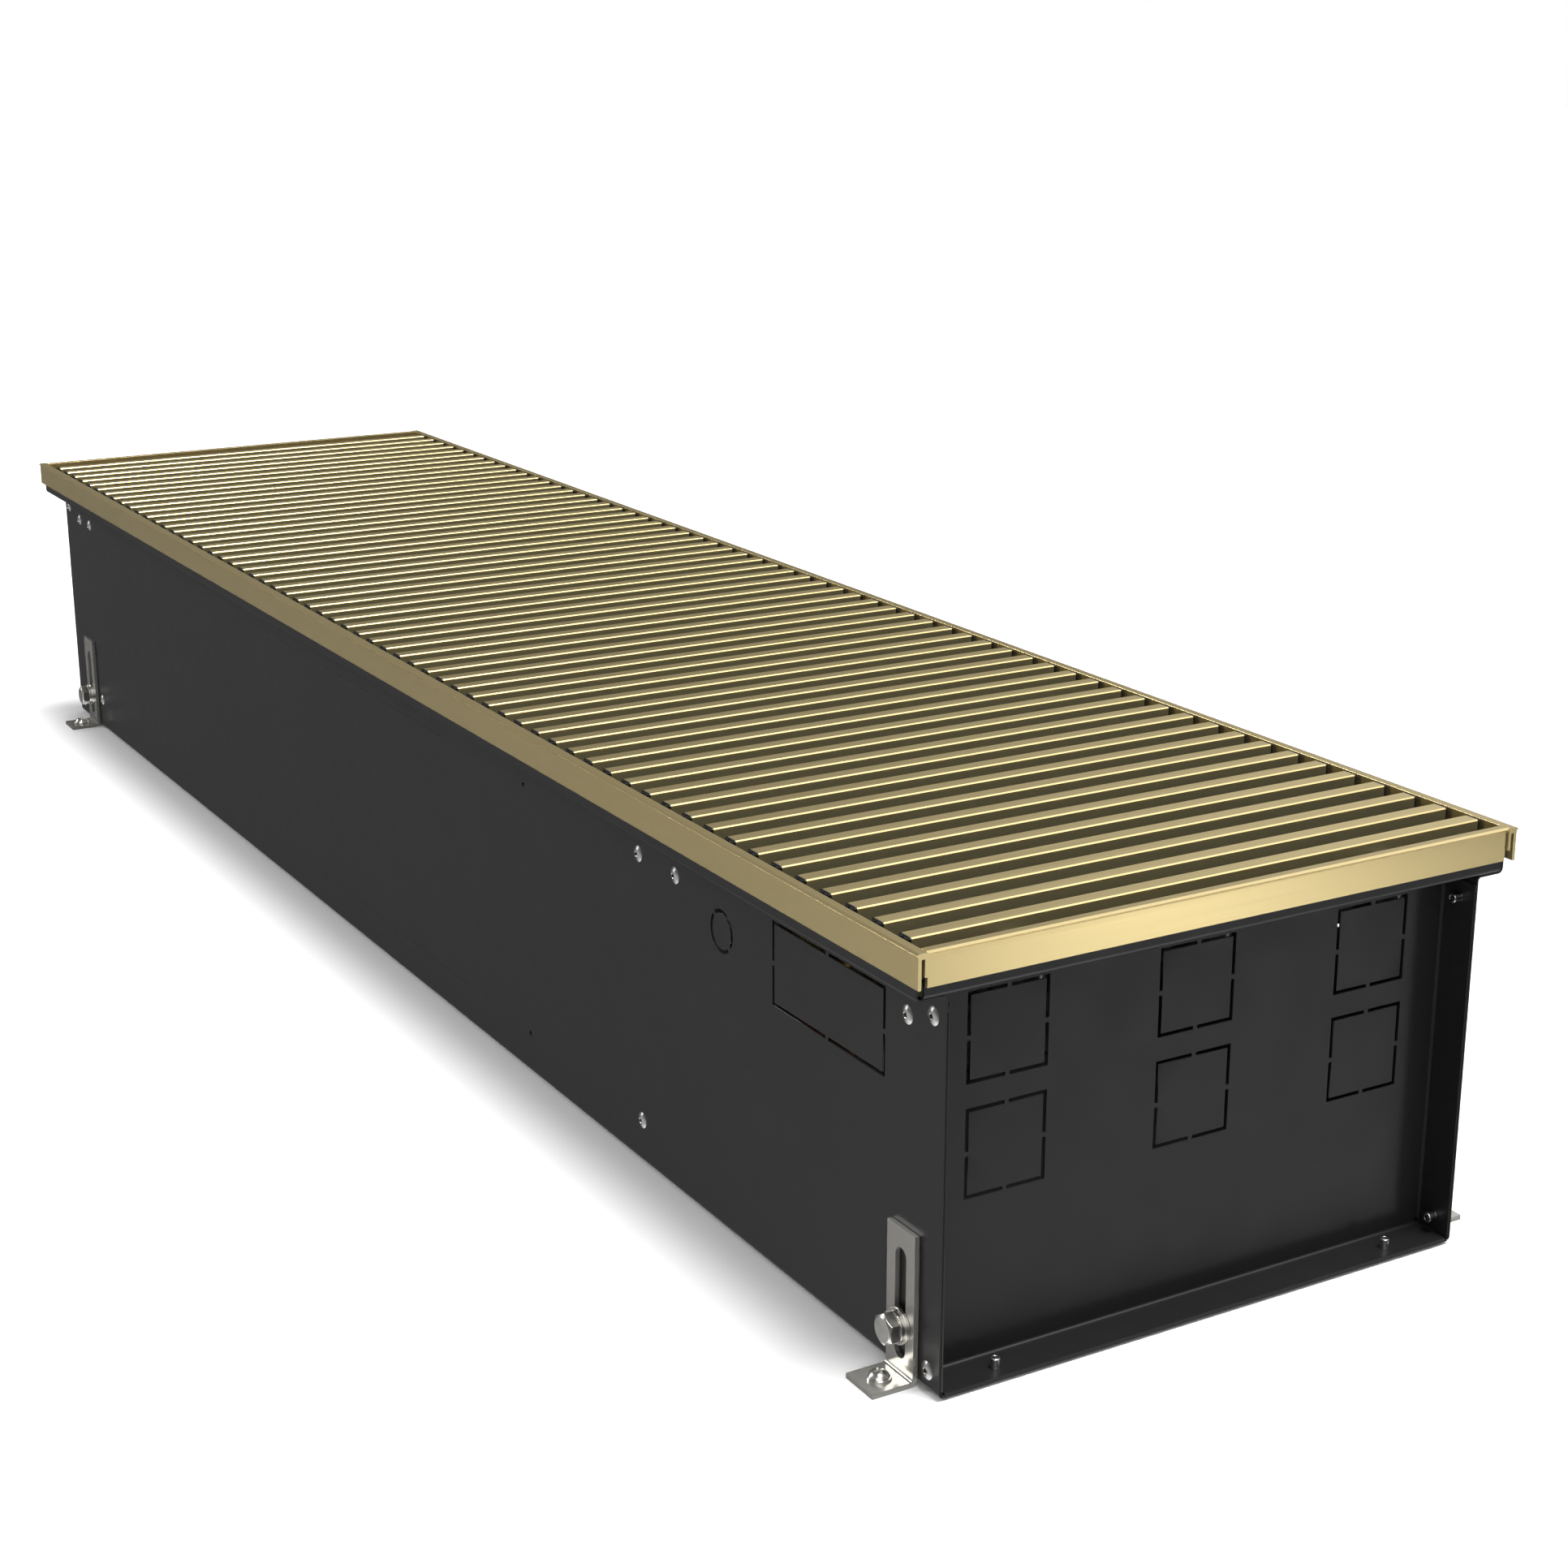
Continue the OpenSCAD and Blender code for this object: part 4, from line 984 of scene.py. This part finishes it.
def coil_fins():
    """Foil plates with clipped corners, a close pitch apart, threaded on the tubes."""
    edge = rounded(rectangle(fin_low.y, fin_high.y, fin_low.z, fin_high.z), FIN_CORNER, 1)
    sheet = prism(edge, "x", 0, FIN_T)
    holes = [moved(rod("x", TUBE_R + FIN_CLEAR, -1, 1, 8), y=y, z=z) for y in tube_ys for z in tube_zs]
    count = int((fin_high.x - fin_low.x - FIN_T) / FIN_PITCH) + 1
    start = (fin_low.x + fin_high.x - (count - 1) * FIN_PITCH - FIN_T) / 2
    return in_a_row(cut(sheet, *holes), FOIL, count, (start, 0, 0), (FIN_PITCH, 0, 0))


make("coil_fins", coil_fins(), FOIL, "casing", "fin_aluminium", "coil_fins", metres=True)
tube = turned(rectangle(TUBE_R - TUBE_WALL, TUBE_R, tube_low.x, tube_high.x), 32, ring=True)
tubes = [moved(tube, y=y, z=z, turn=TO_X) for y in tube_ys for z in tube_zs]
make("coil_tubes", joined(*tubes), COPPER, "casing", "copper", "coil_tubes")
for node, material, body, slot in (("return_bends_blank", COPPER, "casing", "copper"),
                                   ("return_bends_valve", COPPER, "casing", "copper"),
                                   ("union_supply", BRASS, "casing", "union_brass"),
                                   ("union_return", BRASS, "casing", "union_brass"),
                                   ("vent_body", NICKEL, "casing", "vent_nickel"),
                                   ("vent_screw", NICKEL, "vent_screw", "vent_nickel")):
    make(node, from_cad(node), material, body, slot, node)


# Stage, light and camera

def stage_floor():
    """A white studio floor. Only its shade shows: glossy rays pass it and see the studio's own light."""
    half = 9
    corners = [(x, y, 0) for x, y in rectangle(-half, half, -half, half)]
    floor = on_bench(mesh_of(corners, [(0, 1, 2, 3)]), "floor")
    white = finish_named("studio floor", Base_Color=srgb("#FFFFFF"), Roughness=1.0)[0]
    floor.data.materials.append(white)
    floor.visible_glossy = False


# Soft lights of the studio: the way to each, the angles from it where it ends and where it is full, in
# degrees, and its strength
STUDIO_LIGHTS = {
    "key overhead": ((0.2, 0.09, 1.0), 12, 4, 46.0),
    "bank over the far side": ((-0.4, 0.64, 0.64), 29, 10, 1.3),
    "bank over the far corner": ((0.35, 0.55, 0.8), 22, 8, 1.9),
    "bank at the front right": ((0.7, -0.4, 0.6), 35, 10, 1.5),
    "box at the front left": ((-0.73, -0.48, 0.49), 8, 4, 22.0),
    "strip at the front left": ((-0.73, -0.66, 0.14), 9, 4, 3.0),
    "wall of the studio at the left": ((-0.78, -0.54, -0.1), 22, 5, 0.17),
    "bank over the front": ((-0.35, -0.75, 0.6), 30, 12, 0.12),
    "floor at the front": ((-0.4, -0.8, -0.4), 35, 8, 0.52),
    "card at the valve end": ((0.735, 0.59, -0.335), 6, 1.5, 3.4),
    "floor at the valve end": ((0.6, 0.55, -0.6), 22, 5, 0.32),
    "floor under the heater": ((0.0, 0.0, -1.0), 60, 20, 1.67),
}
STUDIO_SHADE = 0.1


def studio():
    """World light from a few wide soft lights; the camera sees plain white behind the object."""
    world = bpy.data.worlds.new("studio")
    bpy.context.scene.world = world
    world.use_nodes = True
    tree = world.node_tree
    tree.nodes.clear()
    way = add(tree, "ShaderNodeTexCoord").outputs["Generated"]
    total = STUDIO_SHADE
    for toward, edge, core, strength in STUDIO_LIGHTS.values():
        aim = Vector(toward).normalized()
        facing = add(tree, "ShaderNodeVectorMath", {0: way, 1: aim}, operation="DOT_PRODUCT")
        glow = add(tree, "ShaderNodeMapRange",
                   {"Value": facing.outputs["Value"], "From Min": math.cos(math.radians(edge)),
                    "From Max": math.cos(math.radians(core)), "To Min": 0.0, "To Max": strength},
                   interpolation_type="SMOOTHSTEP")
        total = add(tree, "ShaderNodeMath", {0: total, 1: glow.outputs[0]}).outputs[0]
    light = add(tree, "ShaderNodeBackground", {"Color": (1, 1, 1, 1), "Strength": total})
    white = add(tree, "ShaderNodeBackground", {"Color": (1, 1, 1, 1), "Strength": 1.0})
    seen = add(tree, "ShaderNodeLightPath").outputs["Is Camera Ray"]
    both = add(tree, "ShaderNodeMixShader", {0: seen, 1: light.outputs[0], 2: white.outputs[0]})
    add(tree, "ShaderNodeOutputWorld", {"Surface": both.outputs[0]})
    bpy.context.scene.view_settings.view_transform = "Standard"


# The photograph's view, solved from its straight edges: in metres, degrees and millimetres
EYE = (1.42308, -0.68258, 0.56101)
EYE_DOWN = 16.963
EYE_HEADING = 59.712
FOCAL_LENGTH = 60.136


def camera():
    """The camera of the photograph."""
    lens = bpy.data.cameras.new("camera")
    lens.lens = FOCAL_LENGTH
    lens.sensor_width = 36
    lens.clip_end = 50
    eye = bpy.data.objects.new("camera", lens)
    eye.location = EYE
    eye.rotation_euler = (math.radians(90 - EYE_DOWN), 0, math.radians(EYE_HEADING))
    bpy.context.scene.collection.objects.link(eye)
    bpy.context.scene.camera = eye


stage_floor()
studio()
camera()
